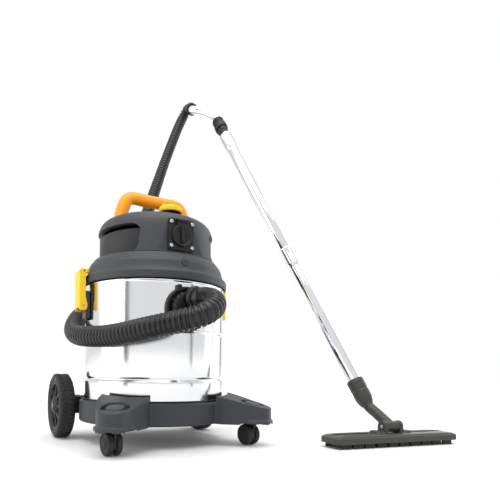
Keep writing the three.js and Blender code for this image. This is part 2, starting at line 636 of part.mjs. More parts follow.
SCREWS.forEach(([x, z], i) =>
  place(`socket_screw_${i + 1}`, socketScrew(x, z), zincSteel));
place('knock_out', knockOut(), greyPlastic);
place('cord_gland', cordGland(), blackPlastic);
place('motor', motor(), motorSteel);
place('impeller', impeller(), motorSteel);
place('float_cage', floatCage(), darkPlastic);
place('float_ball', floatBall(), brushHair);
place('filter', filter(), filterPaper);
place('hose', hose(), hoseEva);
place('hose_cuff', hoseCuff(), blackPlastic);
place('bent_tube', bentTube(), chrome);
place('wand_connector', connector(), blackPlastic);
place('air_slide', airSlide(), blackPlastic);
place('tube_upper', tubeUpper(), chrome);
place('tube_lower', tubeLower(), chrome);
place('button_upper', springButton(1), zincSteel);
place('button_lower', springButton(0.5), zincSteel);
place('nozzle_body', nozzleBody(), nozzlePlastic);
place('nozzle_neck', nozzleNeck(), nozzlePlastic);
place('neck_pin', neckPin(), zincSteel);
place('brush_front', nozzleBrush(-1, 9), brushHair);
place('brush_rear', nozzleBrush(1, 0), brushHair);

// Row origin: bottom centre of the box around everything but the hose.
const reach = new THREE.Box3();
group.children.forEach((mesh) => {
  if (mesh.name !== 'hose') reach.expandByObject(mesh);
});
const middle = reach.getCenter(new THREE.Vector3());
group.children.forEach((mesh) =>
  mesh.geometry.translate(-middle.x, -middle.y, -reach.min.z));

export default group;
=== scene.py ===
"""Wet and dry shop vacuum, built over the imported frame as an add-on style script."""

from math import cos, pi, radians, sin

import bmesh
import bpy
from bpy.props import FloatProperty, FloatVectorProperty, IntProperty, PointerProperty
from bpy.types import Operator, Panel, PropertyGroup
from mathutils import Matrix, Vector


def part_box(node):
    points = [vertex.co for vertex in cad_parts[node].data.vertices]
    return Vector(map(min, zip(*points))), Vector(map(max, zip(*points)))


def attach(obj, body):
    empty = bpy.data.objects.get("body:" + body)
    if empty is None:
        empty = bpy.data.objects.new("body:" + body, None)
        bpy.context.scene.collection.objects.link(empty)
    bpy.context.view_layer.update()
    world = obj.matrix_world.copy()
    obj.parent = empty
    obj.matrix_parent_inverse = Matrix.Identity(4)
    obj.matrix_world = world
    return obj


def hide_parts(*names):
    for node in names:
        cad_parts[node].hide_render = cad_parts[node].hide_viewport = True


bl_info = {
    "name": "Wet and Dry Shop Vacuum",
    "version": (1, 0, 0),
    "blender": (4, 5, 0),
    "location": "View3D > Sidebar > Vacuum",
    "description": "Builds a steel drum vacuum with its hose, wand and floor nozzle",
    "category": "Object",
}

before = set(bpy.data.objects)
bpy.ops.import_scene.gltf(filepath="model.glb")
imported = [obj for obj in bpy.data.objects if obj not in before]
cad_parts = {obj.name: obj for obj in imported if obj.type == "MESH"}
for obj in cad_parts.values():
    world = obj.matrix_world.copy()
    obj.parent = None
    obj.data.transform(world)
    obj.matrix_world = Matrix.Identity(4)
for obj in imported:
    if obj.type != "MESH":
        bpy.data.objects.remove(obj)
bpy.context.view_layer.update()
MM = 0.001

# The drum's axis meets the floor here, in the row frame, in metres.
DRUM_LOW, DRUM_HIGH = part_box("drum")
AXIS = Vector(((DRUM_LOW[0] + DRUM_HIGH[0]) / 2, (DRUM_LOW[1] + DRUM_HIGH[1]) / 2, 0.0))


def hex_linear(code):
    """sRGB hex to linear RGBA."""
    out = []
    for i in (0, 2, 4):
        c = int(code[i:i + 2], 16) / 255
        out.append(c / 12.92 if c <= 0.04045 else ((c + 0.055) / 1.055) ** 2.4)
    return (*out, 1.0)


# ---------------------------------------------------------------- settings


class VacuumSizes(PropertyGroup):
    ridge_pitch: FloatProperty(
        name="Hose ridge pitch", description="Distance from one hose ridge to the next",
        default=0.0088, min=0.004, max=0.02, subtype="DISTANCE", unit="LENGTH")
    ridge_depth: FloatProperty(
        name="Hose ridge depth", description="Height of a hose ridge over its valley",
        default=0.0036, min=0.0005, max=0.006, subtype="DISTANCE", unit="LENGTH")
    tread_ribs: IntProperty(
        name="Tread ribs", description="Cross ribs round each rear tyre", default=44, min=8, max=90)
    spokes: IntProperty(
        name="Wheel spokes", description="Spokes of each rear hub", default=8, min=3, max=16)
    tufts: IntProperty(
        name="Bristle tufts", description="Tufts along each nozzle brush", default=70, min=10,
        max=160)
    pleats: IntProperty(
        name="Filter pleats", description="Pleats round the filter", default=60, min=20, max=120)


class VacuumColours(PropertyGroup):
    body: FloatVectorProperty(
        name="Body grey", description="Moulded head and base", subtype="COLOR", size=4,
        min=0, max=1, default=hex_linear("333539"))
    handle: FloatVectorProperty(
        name="Handle amber", description="Carry handle", subtype="COLOR", size=4,
        min=0, max=1, default=hex_linear("F09410"))
    latch: FloatVectorProperty(
        name="Latch yellow", description="Latches and knob", subtype="COLOR", size=4,
        min=0, max=1, default=hex_linear("EBC016"))
    black: FloatVectorProperty(
        name="Fitting black", description="Socket, inlet and cuffs", subtype="COLOR", size=4,
        min=0, max=1, default=hex_linear("0E0F10"))
    hose: FloatVectorProperty(
        name="Hose black", description="Suction hose", subtype="COLOR", size=4,
        min=0, max=1, default=hex_linear("0F1012"))
    nozzle: FloatVectorProperty(
        name="Nozzle grey", description="Floor nozzle", subtype="COLOR", size=4,
        min=0, max=1, default=hex_linear("3A3935"))
    rubber: FloatVectorProperty(
        name="Rubber", description="Tyres and casters", subtype="COLOR", size=4,
        min=0, max=1, default=hex_linear("1A1B1D"))


# ---------------------------------------------------------------- placing


def at(x, y, z):
    """Millimetres from the drum's axis on the floor to the row frame in metres."""
    return Vector((x, y, z)) * MM + AXIS


def place(x=0.0, y=0.0, z=0.0, turn=0.0):
    """Matrix from local metres to a machine position in mm, turned about +Z by degrees."""
    return Matrix.Translation(at(x, y, z)) @ Matrix.Rotation(radians(turn), 4, "Z")


def aim(origin, direction, side=(0, 0, 1)):
    """Matrix whose +Z runs along direction and whose +X leans to side."""
    z = Vector(direction).normalized()
    x = Vector(side) - z * Vector(side).dot(z)
    if x.length < 1e-4:
        x = Vector((1, 0, 0)) - z * z.x
    x.normalize()
    y = z.cross(x)
    m = Matrix((x, y, z)).transposed().to_4x4()
    m.translation = Vector(origin)
    return m


def front(x, y, z):
    """Matrix for a part that faces the front: local +Z points to -Y, local +Y up."""
    return aim(at(x, y, z), (0, -1, 0), (1, 0, 0))


# ---------------------------------------------------------------- mesh making


def turn(bm, profile, matrix=None, segments=96):
    """Revolves a list of (radius, height) in mm about local Z and closes it."""
    rings = []
    for r, z in profile:
        if r < 1e-6:
            rings.append([bm.verts.new((0, 0, z * MM))])
        else:
            rings.append([bm.verts.new((r * MM * cos(2 * pi * k / segments),
                                        r * MM * sin(2 * pi * k / segments), z * MM))
                          for k in range(segments)])
    pairs = list(zip(rings, rings[1:]))
    if len(rings[0]) > 1 and len(rings[-1]) > 1:
        pairs.append((rings[-1], rings[0]))
    for a, b in pairs:
        if len(a) == 1 and len(b) == 1:
            continue
        for k in range(segments):
            n = (k + 1) % segments
            if len(a) == 1:
                bm.faces.new((a[0], b[k], b[n]))
            elif len(b) == 1:
                bm.faces.new((a[k], b[0], a[n]))
            else:
                bm.faces.new((a[k], b[k], b[n], a[n]))
    made = [v for ring in rings for v in ring]
    if matrix is not None:
        bmesh.ops.transform(bm, matrix=matrix, verts=made)
    return made


def arc(cx, cy, r, start, end, steps=8):
    """Points of an arc in mm, angles in degrees."""
    return [(cx + r * cos(radians(start + (end - start) * k / steps)),
             cy + r * sin(radians(start + (end - start) * k / steps))) for k in range(steps + 1)]


def rounded(w, h, r, steps=6):
    """Outline of a rounded rectangle in mm, counter-clockwise."""
    r = min(r, w / 2 - 0.01, h / 2 - 0.01)
    pts = arc(w / 2 - r, -h / 2 + r, r, -90, 0, steps)
    pts += arc(w / 2 - r, h / 2 - r, r, 0, 90, steps)
    pts += arc(-w / 2 + r, h / 2 - r, r, 90, 180, steps)
    pts += arc(-w / 2 + r, -h / 2 + r, r, 180, 270, steps)
    return pts


def prism(bm, outline, depth, matrix, taper=1.0, crown=0.0):
    """Extrudes an outline in mm from local z 0 to depth, with an optional taper and eased top."""
    levels = [(0.0, 1.0), (depth, taper)]
    if crown:
        levels = [(0.0, 1.0), (depth - crown, taper), (depth - crown * 0.4, taper - 0.25 * crown / 20),
                  (depth, taper - crown / 20)]
    rings = []
    for z, s in levels:
        rings.append([bm.verts.new((x * s * MM, y * s * MM, z * MM)) for x, y in outline])
    n = len(outline)
    for a, b in zip(rings, rings[1:]):
        for k in range(n):
            m = (k + 1) % n
            bm.faces.new((a[k], a[m], b[m], b[k]))
    bm.faces.new(list(reversed(rings[0])))
    bm.faces.new(rings[-1])
    made = [v for ring in rings for v in ring]
    bmesh.ops.transform(bm, matrix=matrix, verts=made)
    return made


def brick(bm, sx, sy, sz, matrix):
    """Box in mm centred on the matrix."""
    made = bmesh.ops.create_cube(bm, size=1.0)["verts"]
    bmesh.ops.transform(bm, matrix=matrix @ Matrix.Diagonal((sx * MM, sy * MM, sz * MM, 1)),
                        verts=made)
    return made


def sweep(bm, centres, radius, sides=40, capped=True):
    """Tube round a list of points in metres. radius is in metres, or a function of ring and side."""
    n = len(centres)
    tangents = [(centres[min(i + 1, n - 1)] - centres[max(i - 1, 0)]).normalized()
                for i in range(n)]
    normal = tangents[0].orthogonal().normalized()
    rings = []
    for i in range(n):
        normal = (normal - tangents[i] * normal.dot(tangents[i])).normalized()
        other = tangents[i].cross(normal)
        rings.append([bm.verts.new(centres[i] + (normal * cos(2 * pi * k / sides)
                                                 + other * sin(2 * pi * k / sides))
                                   * (radius(i, k) if callable(radius) else radius))
                      for k in range(sides)])
    for a, b in zip(rings, rings[1:]):
        for k in range(sides):
            m = (k + 1) % sides
            bm.faces.new((a[k], a[m], b[m], b[k]))
    if capped:
        bm.faces.new(list(reversed(rings[0])))
        bm.faces.new(rings[-1])
    return rings


def spline(points, spacing):
    """Evenly spaced points along a centripetal curve through points, all in metres."""
    pts = [Vector(p) for p in points]
    dense = []
    for i in range(len(pts) - 1):
        b, c = pts[i], pts[i + 1]
        a = pts[i - 1] if i else b * 2 - c
        d = pts[i + 2] if i + 2 < len(pts) else c * 2 - b
        t0, t1, t2 = ((q - p).length ** 0.5 for p, q in ((a, b), (b, c), (c, d)))
        m1 = ((b - a) / t0 - (c - a) / (t0 + t1) + (c - b) / t1) * t1
        m2 = ((c - b) / t1 - (d - b) / (t1 + t2) + (d - c) / t2) * t1
        for k in range(40):
            t = k / 40
            dense.append(b + m1 * t + (c * 3 - b * 3 - m1 * 2 - m2) * t * t
                         + (b * 2 - c * 2 + m1 + m2) * t ** 3)
    dense.append(pts[-1])
    lengths = [0.0]
    for p, q in zip(dense, dense[1:]):
        lengths.append(lengths[-1] + (q - p).length)
    count = max(2, round(lengths[-1] / spacing))
    out, j = [], 0
    for k in range(count + 1):
        want = lengths[-1] * k / count
        while j < len(lengths) - 2 and lengths[j + 1] < want:
            j += 1
        span = lengths[j + 1] - lengths[j]
        out.append(dense[j].lerp(dense[j + 1], (want - lengths[j]) / span if span else 0))
    return out, lengths[-1]


def bake(obj):
    """Turns an object's modifiers into its own mesh."""
    graph = bpy.context.evaluated_depsgraph_get()
    mesh = bpy.data.meshes.new_from_object(obj.evaluated_get(graph))
    obj.modifiers.clear()
    old = obj.data
    obj.data = mesh
    bpy.data.meshes.remove(old)
    return obj


def to_object(name, bm, smooth_angle=35.0):
    """Finishes a bmesh as an object with soft and sharp edges by angle."""
    bmesh.ops.recalc_face_normals(bm, faces=bm.faces)
    mesh = bpy.data.meshes.new(name)
    bm.to_mesh(mesh)
    bm.free()
    obj = bpy.data.objects.new(name, mesh)
    bpy.context.scene.collection.objects.link(obj)
    for poly in mesh.polygons:
        poly.use_smooth = True
    if smooth_angle:
        mesh.set_sharp_from_angle(angle=radians(smooth_angle))
    return obj


def piece(name, bm, material, body, stands_for=(), smooth_angle=35.0, bevel=0.0):
    """Object from a bmesh, with its material, body and CAD nodes."""
    obj = to_object(name, bm, smooth_angle)
    if bevel:
        mod = obj.modifiers.new("edge", "BEVEL")
        mod.width, mod.segments, mod.limit_method = bevel * MM, 2, "ANGLE"
        mod.angle_limit = radians(32)
        mod.harden_normals = False
        bake(obj)
        for poly in obj.data.polygons:
            poly.use_smooth = True
        obj.data.set_sharp_from_angle(angle=radians(38))
    return settle(obj, material, body, stands_for)


def settle(obj, material, body, stands_for=()):
    obj.data.materials.clear()
    obj.data.materials.append(material)
    if body:
        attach(obj, body)
    if stands_for:
        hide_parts(*stands_for)
    return obj


def moulded(name, solids, cutters, voxel, material, body, stands_for=(), keep=0.4,
            ease=5):
    """One plastic moulding: solids less cutters, fused, with the soft edges a mould leaves."""
    tools = []
    for i, bm in enumerate(cutters):
        tool = to_object(f"{name}_cut{i}", bm, 0)
        tools.append(tool)
    blanks = []
    for i, bm in enumerate(solids):
        blank = to_object(f"{name}_blank{i}", bm, 0)
        for tool in tools:
            mod = blank.modifiers.new("cut", "BOOLEAN")
            mod.operation, mod.solver, mod.object = "DIFFERENCE", "MANIFOLD", tool
        bake(blank)
        blanks.append(blank)
    whole = bmesh.new()
    for blank in blanks:
        whole.from_mesh(blank.data)
    obj = to_object(name, whole, 0)
    scrap(blanks + tools)
    mod = obj.modifiers.new("fuse", "REMESH")
    mod.mode, mod.voxel_size, mod.use_smooth_shade = "VOXEL", voxel * MM, True
    mod = obj.modifiers.new("ease", "SMOOTH")
    mod.factor, mod.iterations = 0.5, ease
    if keep < 1:
        mod = obj.modifiers.new("thin", "DECIMATE")
        mod.ratio = keep
    bake(obj)
    for poly in obj.data.polygons:
        poly.use_smooth = True
    return settle(obj, material, body, stands_for)


def carved(solids, cutters):
    """The first solid, or all of them side by side, less every cutter, as one bmesh."""
    tools = [to_object(f"tool{i}", bm.copy(), 0) for i, bm in enumerate(cutters)]
    out = bmesh.new()
    for bm in solids:
        blank = to_object("blank", bm, 0)
        for tool in tools:
            mod = blank.modifiers.new("cut", "BOOLEAN")
            mod.operation, mod.solver, mod.object = "DIFFERENCE", "MANIFOLD", tool
        bake(blank)
        out.from_mesh(blank.data)
        scrap([blank])
    scrap(tools)
    return out


def scrap(objects):
    for obj in objects:
        data = obj.data
        bpy.data.objects.remove(obj)
        bpy.data.meshes.remove(data)


def common(a, b):
    """The solid that two bmeshes share, as a bmesh."""
    first, second = to_object("first", a, 0), to_object("second", b, 0)
    mod = first.modifiers.new("common", "BOOLEAN")
    mod.operation, mod.solver, mod.object = "INTERSECT", "MANIFOLD", second
    bake(first)
    bm = bmesh.new()
    bm.from_mesh(first.data)
    scrap([first, second])
    return bm


def ring(r0, r1, low, high, segments=160):
    bm = bmesh.new()
    turn(bm, [(r0, low), (r1, low), (r1, high), (r0, high)], place(), segments)
    return bm


def side_panel(side, y0, y1, z0, z1, r):
    """Rounded panel running out sideways from x 50 to x 170 between two depths and heights."""
    bm = bmesh.new()
    prism(bm, rounded(y1 - y0, z1 - z0, r, 10), 120,
          aim(at(side * 50, (y0 + y1) / 2, (z0 + z1) / 2), (side, 0, 0), (0, 1, 0)))
    return bm


def both(bm):
    """Adds the mirror image across the drum's own X plane."""
    twin = bm.copy()
    bmesh.ops.transform(twin, verts=twin.verts,
                        matrix=Matrix.Translation((2 * AXIS.x, 0, 0)) @ Matrix.Diagonal((-1, 1, 1, 1)))
    bmesh.ops.reverse_faces(twin, faces=twin.faces)
    return twin


# ---------------------------------------------------------------- materials


def which(socket):
    """Socket key from its name or its number."""
    return int(socket) if str(socket).isdigit() else socket


def node(tree, kind, settings=None, links=None):
    """Adds a shader node, sets its values and sockets, and links its inputs."""
    item = tree.nodes.new(kind)
    for key, value in (settings or {}).items():
        if key.startswith("in:"):
            item.inputs[which(key[3:])].default_value = value
        else:
            setattr(item, key, value)
    for socket, source in (links or {}).items():
        tree.links.new(source, item.inputs[which(socket)])
    return item


def shader(name, settings):
    """A new material with a principled shader and object coordinates in metres."""
    material = bpy.data.materials.new(name)
    material.use_nodes = True
    tree = material.node_tree
    tree.nodes.clear()
    out = node(tree, "ShaderNodeOutputMaterial")
    bsdf = node(tree, "ShaderNodeBsdfPrincipled", {f"in:{k}": v for k, v in settings.items()})
    tree.links.new(bsdf.outputs[0], out.inputs[0])
    where = node(tree, "ShaderNodeTexCoord").outputs["Object"]
    return material, tree, bsdf, where


def remap(tree, value, low, high, lo=0.0, hi=1.0):
    return node(tree, "ShaderNodeMapRange",
                {"in:1": lo, "in:2": hi, "in:3": low, "in:4": high}, {0: value}).outputs[0]


def grain(tree, where, size_mm, detail=2.0, rough=0.5, stretch=(1, 1, 1)):
    """Noise whose lumps are about size_mm across."""
    space = node(tree, "ShaderNodeMapping", {"in:3": stretch}, {0: where}).outputs[0]
    return node(tree, "ShaderNodeTexNoise",
                {"in:Scale": 1000.0 / size_mm, "in:Detail": detail, "in:Roughness": rough},
                {"Vector": space}).outputs["Fac"]


def relief(tree, bsdf, height, depth_mm, strength=1.0, after=None):
    links = {"Height": height}
    if after is not None:
        links["Normal"] = after
    bump = node(tree, "ShaderNodeBump", {"in:Strength": strength, "in:Distance": depth_mm * MM},
                links)
    tree.links.new(bump.outputs[0], bsdf.inputs["Normal"])
    return bump.outputs[0]


def tinted(tree, bsdf, fac, dark, light):
    mix = node(tree, "ShaderNodeMix", {"data_type": "RGBA", "in:6": dark, "in:7": light}, {0: fac})
    tree.links.new(mix.outputs[2], bsdf.inputs["Base Color"])


def scaled(colour, k):
    return (min(1, colour[0] * k), min(1, colour[1] * k), min(1, colour[2] * k), 1.0)


def textured_abs(name, colour, roughness, grain_mm=0.9, depth=0.035, spread=0.08):
    """Moulded ABS from a spark-eroded tool: a fine even pebble, a soft broad highlight, and
    faint cloudiness where the melt flowed."""
    material, tree, bsdf, where = shader(name, {"Roughness": roughness, "IOR": 1.52,
                                                 "Specular IOR Level": 0.32})
    fine = grain(tree, where, grain_mm, 3.0, 0.6)
    broad = grain(tree, where, 60, 2.0)
    tinted(tree, bsdf, broad, scaled(colour, 1 - spread), scaled(colour, 1 + spread))
    tree.links.new(remap(tree, broad, roughness - 0.05, roughness + 0.06), bsdf.inputs["Roughness"])
    relief(tree, bsdf, fine, depth)
    return material


def stainless_drum():
    """Bright-annealed stainless sheet, rolled round the drum: nearly a mirror, with a faint
    vertical drawing line from the mill and long soft waves that bend reflections."""
    material, tree, bsdf, where = shader("bright_annealed_stainless", {
        "Base Color": hex_linear("D9DADC"), "Metallic": 1.0, "Roughness": 0.13})
    lines = grain(tree, where, 1.4, 2.0, 0.5, (1, 1, 0.02))
    waves = grain(tree, where, 90, 1.0, 0.4, (1, 1, 0.35))
    tree.links.new(remap(tree, lines, 0.10, 0.19), bsdf.inputs["Roughness"])
    soft = relief(tree, bsdf, waves, 0.35, 0.35)
    relief(tree, bsdf, lines, 0.012, 0.5, soft)
    return material


def chrome_plate():
    """Bright chrome over polished steel tube: a clean dark and light mirror, with hairline
    polishing marks that only show in the roughness."""
    material, tree, bsdf, where = shader("bright_chrome_plate", {
        "Base Color": hex_linear("DDDEE1"), "Metallic": 1.0, "Roughness": 0.05})
    marks = grain(tree, where, 2.0, 2.0, 0.5, (1, 1, 0.1))
    tree.links.new(remap(tree, marks, 0.035, 0.09), bsdf.inputs["Roughness"])
    return material


def zinc_plate():
    """Bright zinc on pressed steel: a soft grey metal with a cloudy roughness."""
    material, tree, bsdf, where = shader("bright_zinc_plate", {
        "Base Color": hex_linear("B9BBBF"), "Metallic": 1.0, "Roughness": 0.32})
    cloud = grain(tree, where, 3.0, 3.0)
    tree.links.new(remap(tree, cloud, 0.25, 0.42), bsdf.inputs["Roughness"])
    return material


def hose_eva(colour):
    """Blown EVA hose: a smooth semi-gloss skin that catches a thin line of light on each
    ridge, with dull dust clouded at random over it."""
    material, tree, bsdf, where = shader("blown_eva_hose", {"Roughness": 0.36, "IOR": 1.5,
                                                              "Specular IOR Level": 0.4})
    cloud = grain(tree, where, 18, 3.0)
    fine = grain(tree, where, 0.8, 2.0)
    tinted(tree, bsdf, cloud, scaled(colour, 0.85), scaled(colour, 1.2))
    tree.links.new(remap(tree, cloud, 0.30, 0.46), bsdf.inputs["Roughness"])
    relief(tree, bsdf, fine, 0.02)
    return material


def tyre_rubber(colour):
    """Moulded rubber: matt, nearly black, with a dusty bloom and a fine gritty skin."""
    material, tree, bsdf, where = shader("moulded_tyre_rubber", {"Roughness": 0.7, "IOR": 1.5})
    dust = grain(tree, where, 22, 4.0, 0.6)
    grit = grain(tree, where, 0.9, 3.0, 0.6)
    tinted(tree, bsdf, dust, scaled(colour, 0.85), scaled(colour, 1.35))
    tree.links.new(remap(tree, dust, 0.6, 0.82), bsdf.inputs["Roughness"])
    relief(tree, bsdf, grit, 0.06)
    return material


def nylon_bristle():
    """Crimped nylon bristle: dark, with fine streaks along each hair."""
    material, tree, bsdf, where = shader("crimped_nylon_bristle", {
        "Base Color": hex_linear("161616"), "Roughness": 0.6})
    hair = grain(tree, where, 0.9, 2.0, 0.5, (1, 1, 0.1))
    tinted(tree, bsdf, hair, hex_linear("0E0E0E"), hex_linear("2A2A2B"))
    relief(tree, bsdf, hair, 0.15)
    return material


def filter_paper():
    """Pleated cellulose paper: warm white, fibrous and fully matt."""
    material, tree, bsdf, where = shader("pleated_filter_paper", {"Roughness": 0.95})
    fibre = grain(tree, where, 1.2, 4.0, 0.7)
    tinted(tree, bsdf, fibre, hex_linear("D6CFBC"), hex_linear("F1EDE2"))
    relief(tree, bsdf, fibre, 0.1)
    return material


def cast_aluminium():
    """Die-cast aluminium with a shot-blasted skin: pale grey, speckled and dull."""
    material, tree, bsdf, where = shader("blasted_cast_aluminium", {
        "Base Color": hex_linear("8E9196"), "Metallic": 1.0, "Roughness": 0.45})
    pits = grain(tree, where, 0.8, 3.0)
    tree.links.new(remap(tree, pits, 0.38, 0.6), bsdf.inputs["Roughness"])
    relief(tree, bsdf, pits, 0.05)
    return material


def studio_white():
    """Seamless studio paper: white and matt, with a painted glow that grows towards its far end."""
    material, tree, bsdf, where = shader("seamless_paper", {
        "Base Color": (0.92, 0.92, 0.92, 1), "Roughness": 0.6})
    fibre = grain(tree, where, 3.0, 2.0)
    tree.links.new(remap(tree, fibre, 0.5, 0.7), bsdf.inputs["Roughness"])
    # Painted glow: the sheet gives off light of its own, more the further it lies from the machine, so its
    # far end stays white and no horizon shows.
    away = node(tree, "ShaderNodeVectorMath", {"operation": "LENGTH"})
    tree.links.new(where, away.inputs[0])
    painted_glow = tree.nodes.new("ShaderNodeMapRange")
    for name, value in (("From Min", 0.7), ("From Max", 2.0), ("To Min", 0.0), ("To Max", 0.5)):
        painted_glow.inputs[name].default_value = value
    tree.links.new(away.outputs["Value"], painted_glow.inputs["Value"])
    tree.links.new(painted_glow.outputs["Result"], bsdf.inputs["Emission Strength"])
    bsdf.inputs["Emission Color"].default_value = (1, 1, 1, 1)
    return material


def flag_card(shade):
    """Flocked card used to shape reflections: matt and even."""
    return shader("flocked_card", {"Base Color": (shade, shade, shade, 1), "Roughness": 0.9})[0]


MATERIALS = {}


def finishes():
    """All the object's materials, made once from the colours in the panel."""
    if MATERIALS:
        return MATERIALS
    c = bpy.context.scene.vacuum_colours
    MATERIALS.update(
        body=textured_abs("textured_abs_grey", tuple(c.body), 0.5),
        smooth_body=textured_abs("satin_abs_grey", tuple(c.body), 0.38, 1.5, 0.012),
        handle=textured_abs("satin_abs_amber", tuple(c.handle), 0.36, 1.2, 0.015, 0.05),
        latch=textured_abs("satin_abs_yellow", tuple(c.latch), 0.34, 1.2, 0.012, 0.05),
        black=textured_abs("glass_filled_nylon_black", tuple(c.black), 0.4, 0.9, 0.03),
        dark=textured_abs("moulded_polypropylene_dark", hex_linear("1B1C1E"), 0.48, 1.0, 0.03),
        nozzle=textured_abs("moulded_polypropylene_brown_grey", tuple(c.nozzle), 0.4, 1.0, 0.03),
        hose=hose_eva(tuple(c.hose)), rubber=tyre_rubber(tuple(c.rubber)),
        drum=stainless_drum(), chrome=chrome_plate(), zinc=zinc_plate(),
        bristle=nylon_bristle(), paper=filter_paper(), cast=cast_aluminium())
    return MATERIALS


# ---------------------------------------------------------------- the machine's own layout, mm

CAMERA_AT = (-394.3, -913.4, 147.0)
CAMERA_AZIMUTH = -29.0
CAMERA_ROLL = 0.011
LENS = 33.05
BASE_R = 157.0            # outside of the base ring
BASE_LOW, BASE_TOP = 43.0, 86.0
DRUM_SEAT_R = 147.9       # bore of the ring, round the drum's lower edge
FOOT = (143.0, -165.0)    # caster stem of the right foot, mirrored to the left
FOOT_TURN = 34.6          # degrees outwards from straight ahead
FOOT_TOP = 103.0          # highest point of a foot, against the drum
FOOT_STEM_HIGH = 84.0     # height of the sloping top over the caster stem
FOOT_TOP_SLOPE = 13.87    # degrees down to the nose
CASTER_TURN = 5.5         # degrees, both casters trailing to the back
WHEEL = (156.0, 111.0, 69.0)
LATCH_PIVOT = (159.0, 272.0)
SOCKET_Z = 408.0
SCREWS = ((-22, 431), (22, 431), (-22, 385), (22, 385))
VENT_R = 116.0
HANDLE_Y = 12.0
HANDLE_BAR = 512.5
SKIRT_SLOPE = 0.21
PANEL_Y = -119.0
KNOB_Y = -72.0
INLET_Z = 262.0
WAND_FOOT = Vector((398.7, -210.7, 99.9))
WAND_TOP = Vector((276.4, 165.8, 796.6))
WAND_WAY = (WAND_TOP - WAND_FOOT).normalized()
WAND_HALF = (WAND_TOP - WAND_FOOT).length / 2
WAND_SIDE = Vector((0.79, -0.49, 0))
WAND_SIDE = (WAND_SIDE - WAND_WAY * WAND_SIDE.dot(WAND_WAY)).normalized()
NOZZLE = (405.0, -280.0)
NOZZLE_TURN = -10.0
HOSE_ROUTE = (
    (13, -168, 281), (20, -188, 280), (19, -214, 272), (7, -238, 258),
    (-13, -250, 245), (-33, -246, 236), (-52, -231, 230), (-71, -212, 225),
    (-91, -190, 220), (-110, -161, 215), (-127, -129, 211), (-142, -94, 209),
    (-157, -56, 210), (-165.5, -15, 214), (-164.5, 28, 222), (-155, 74, 238),
    (-132, 125, 264), (-88, 166, 302), (-32, 196, 360), (22, 218, 435),
    (62, 238, 520), (92, 258, 600), (122, 278, 673), (150, 292, 744),
    (178, 304, 811), (203, 316, 868), (221, 322, 905), (229, 310, 925),
    (228, 288, 920), (223, 266, 905))
HOSE_R = 20.0
HOSE_TIP_R = 13.5


def smoothstep(t, a, b):
    t = max(0.0, min(1.0, (t - a) / (b - a)))
    return t * t * (3 - 2 * t)


def hose_ways():
    """First and last directions of the hose's own centre line."""
    line, _ = spline([at(*p) for p in HOSE_ROUTE], 0.002)
    return line[0], (line[1] - line[0]).normalized(), line[-1], (line[-1] - line[-2]).normalized()


def on_wand(t, extra=0.0):
    return WAND_FOOT.lerp(WAND_TOP, t) + WAND_WAY * extra


def wand_matrix(t, extra=0.0):
    return aim(at(*on_wand(t, extra)), WAND_WAY, WAND_SIDE)


def in_nozzle(x=0.0, y=0.0, z=0.0):
    """Matrix in the nozzle's own frame: +X along it, +Y to its back."""
    return place(NOZZLE[0], NOZZLE[1], 0, NOZZLE_TURN) @ Matrix.Translation(Vector((x, y, z)) * MM)


class Builder:
    bl_options = {"REGISTER", "UNDO"}


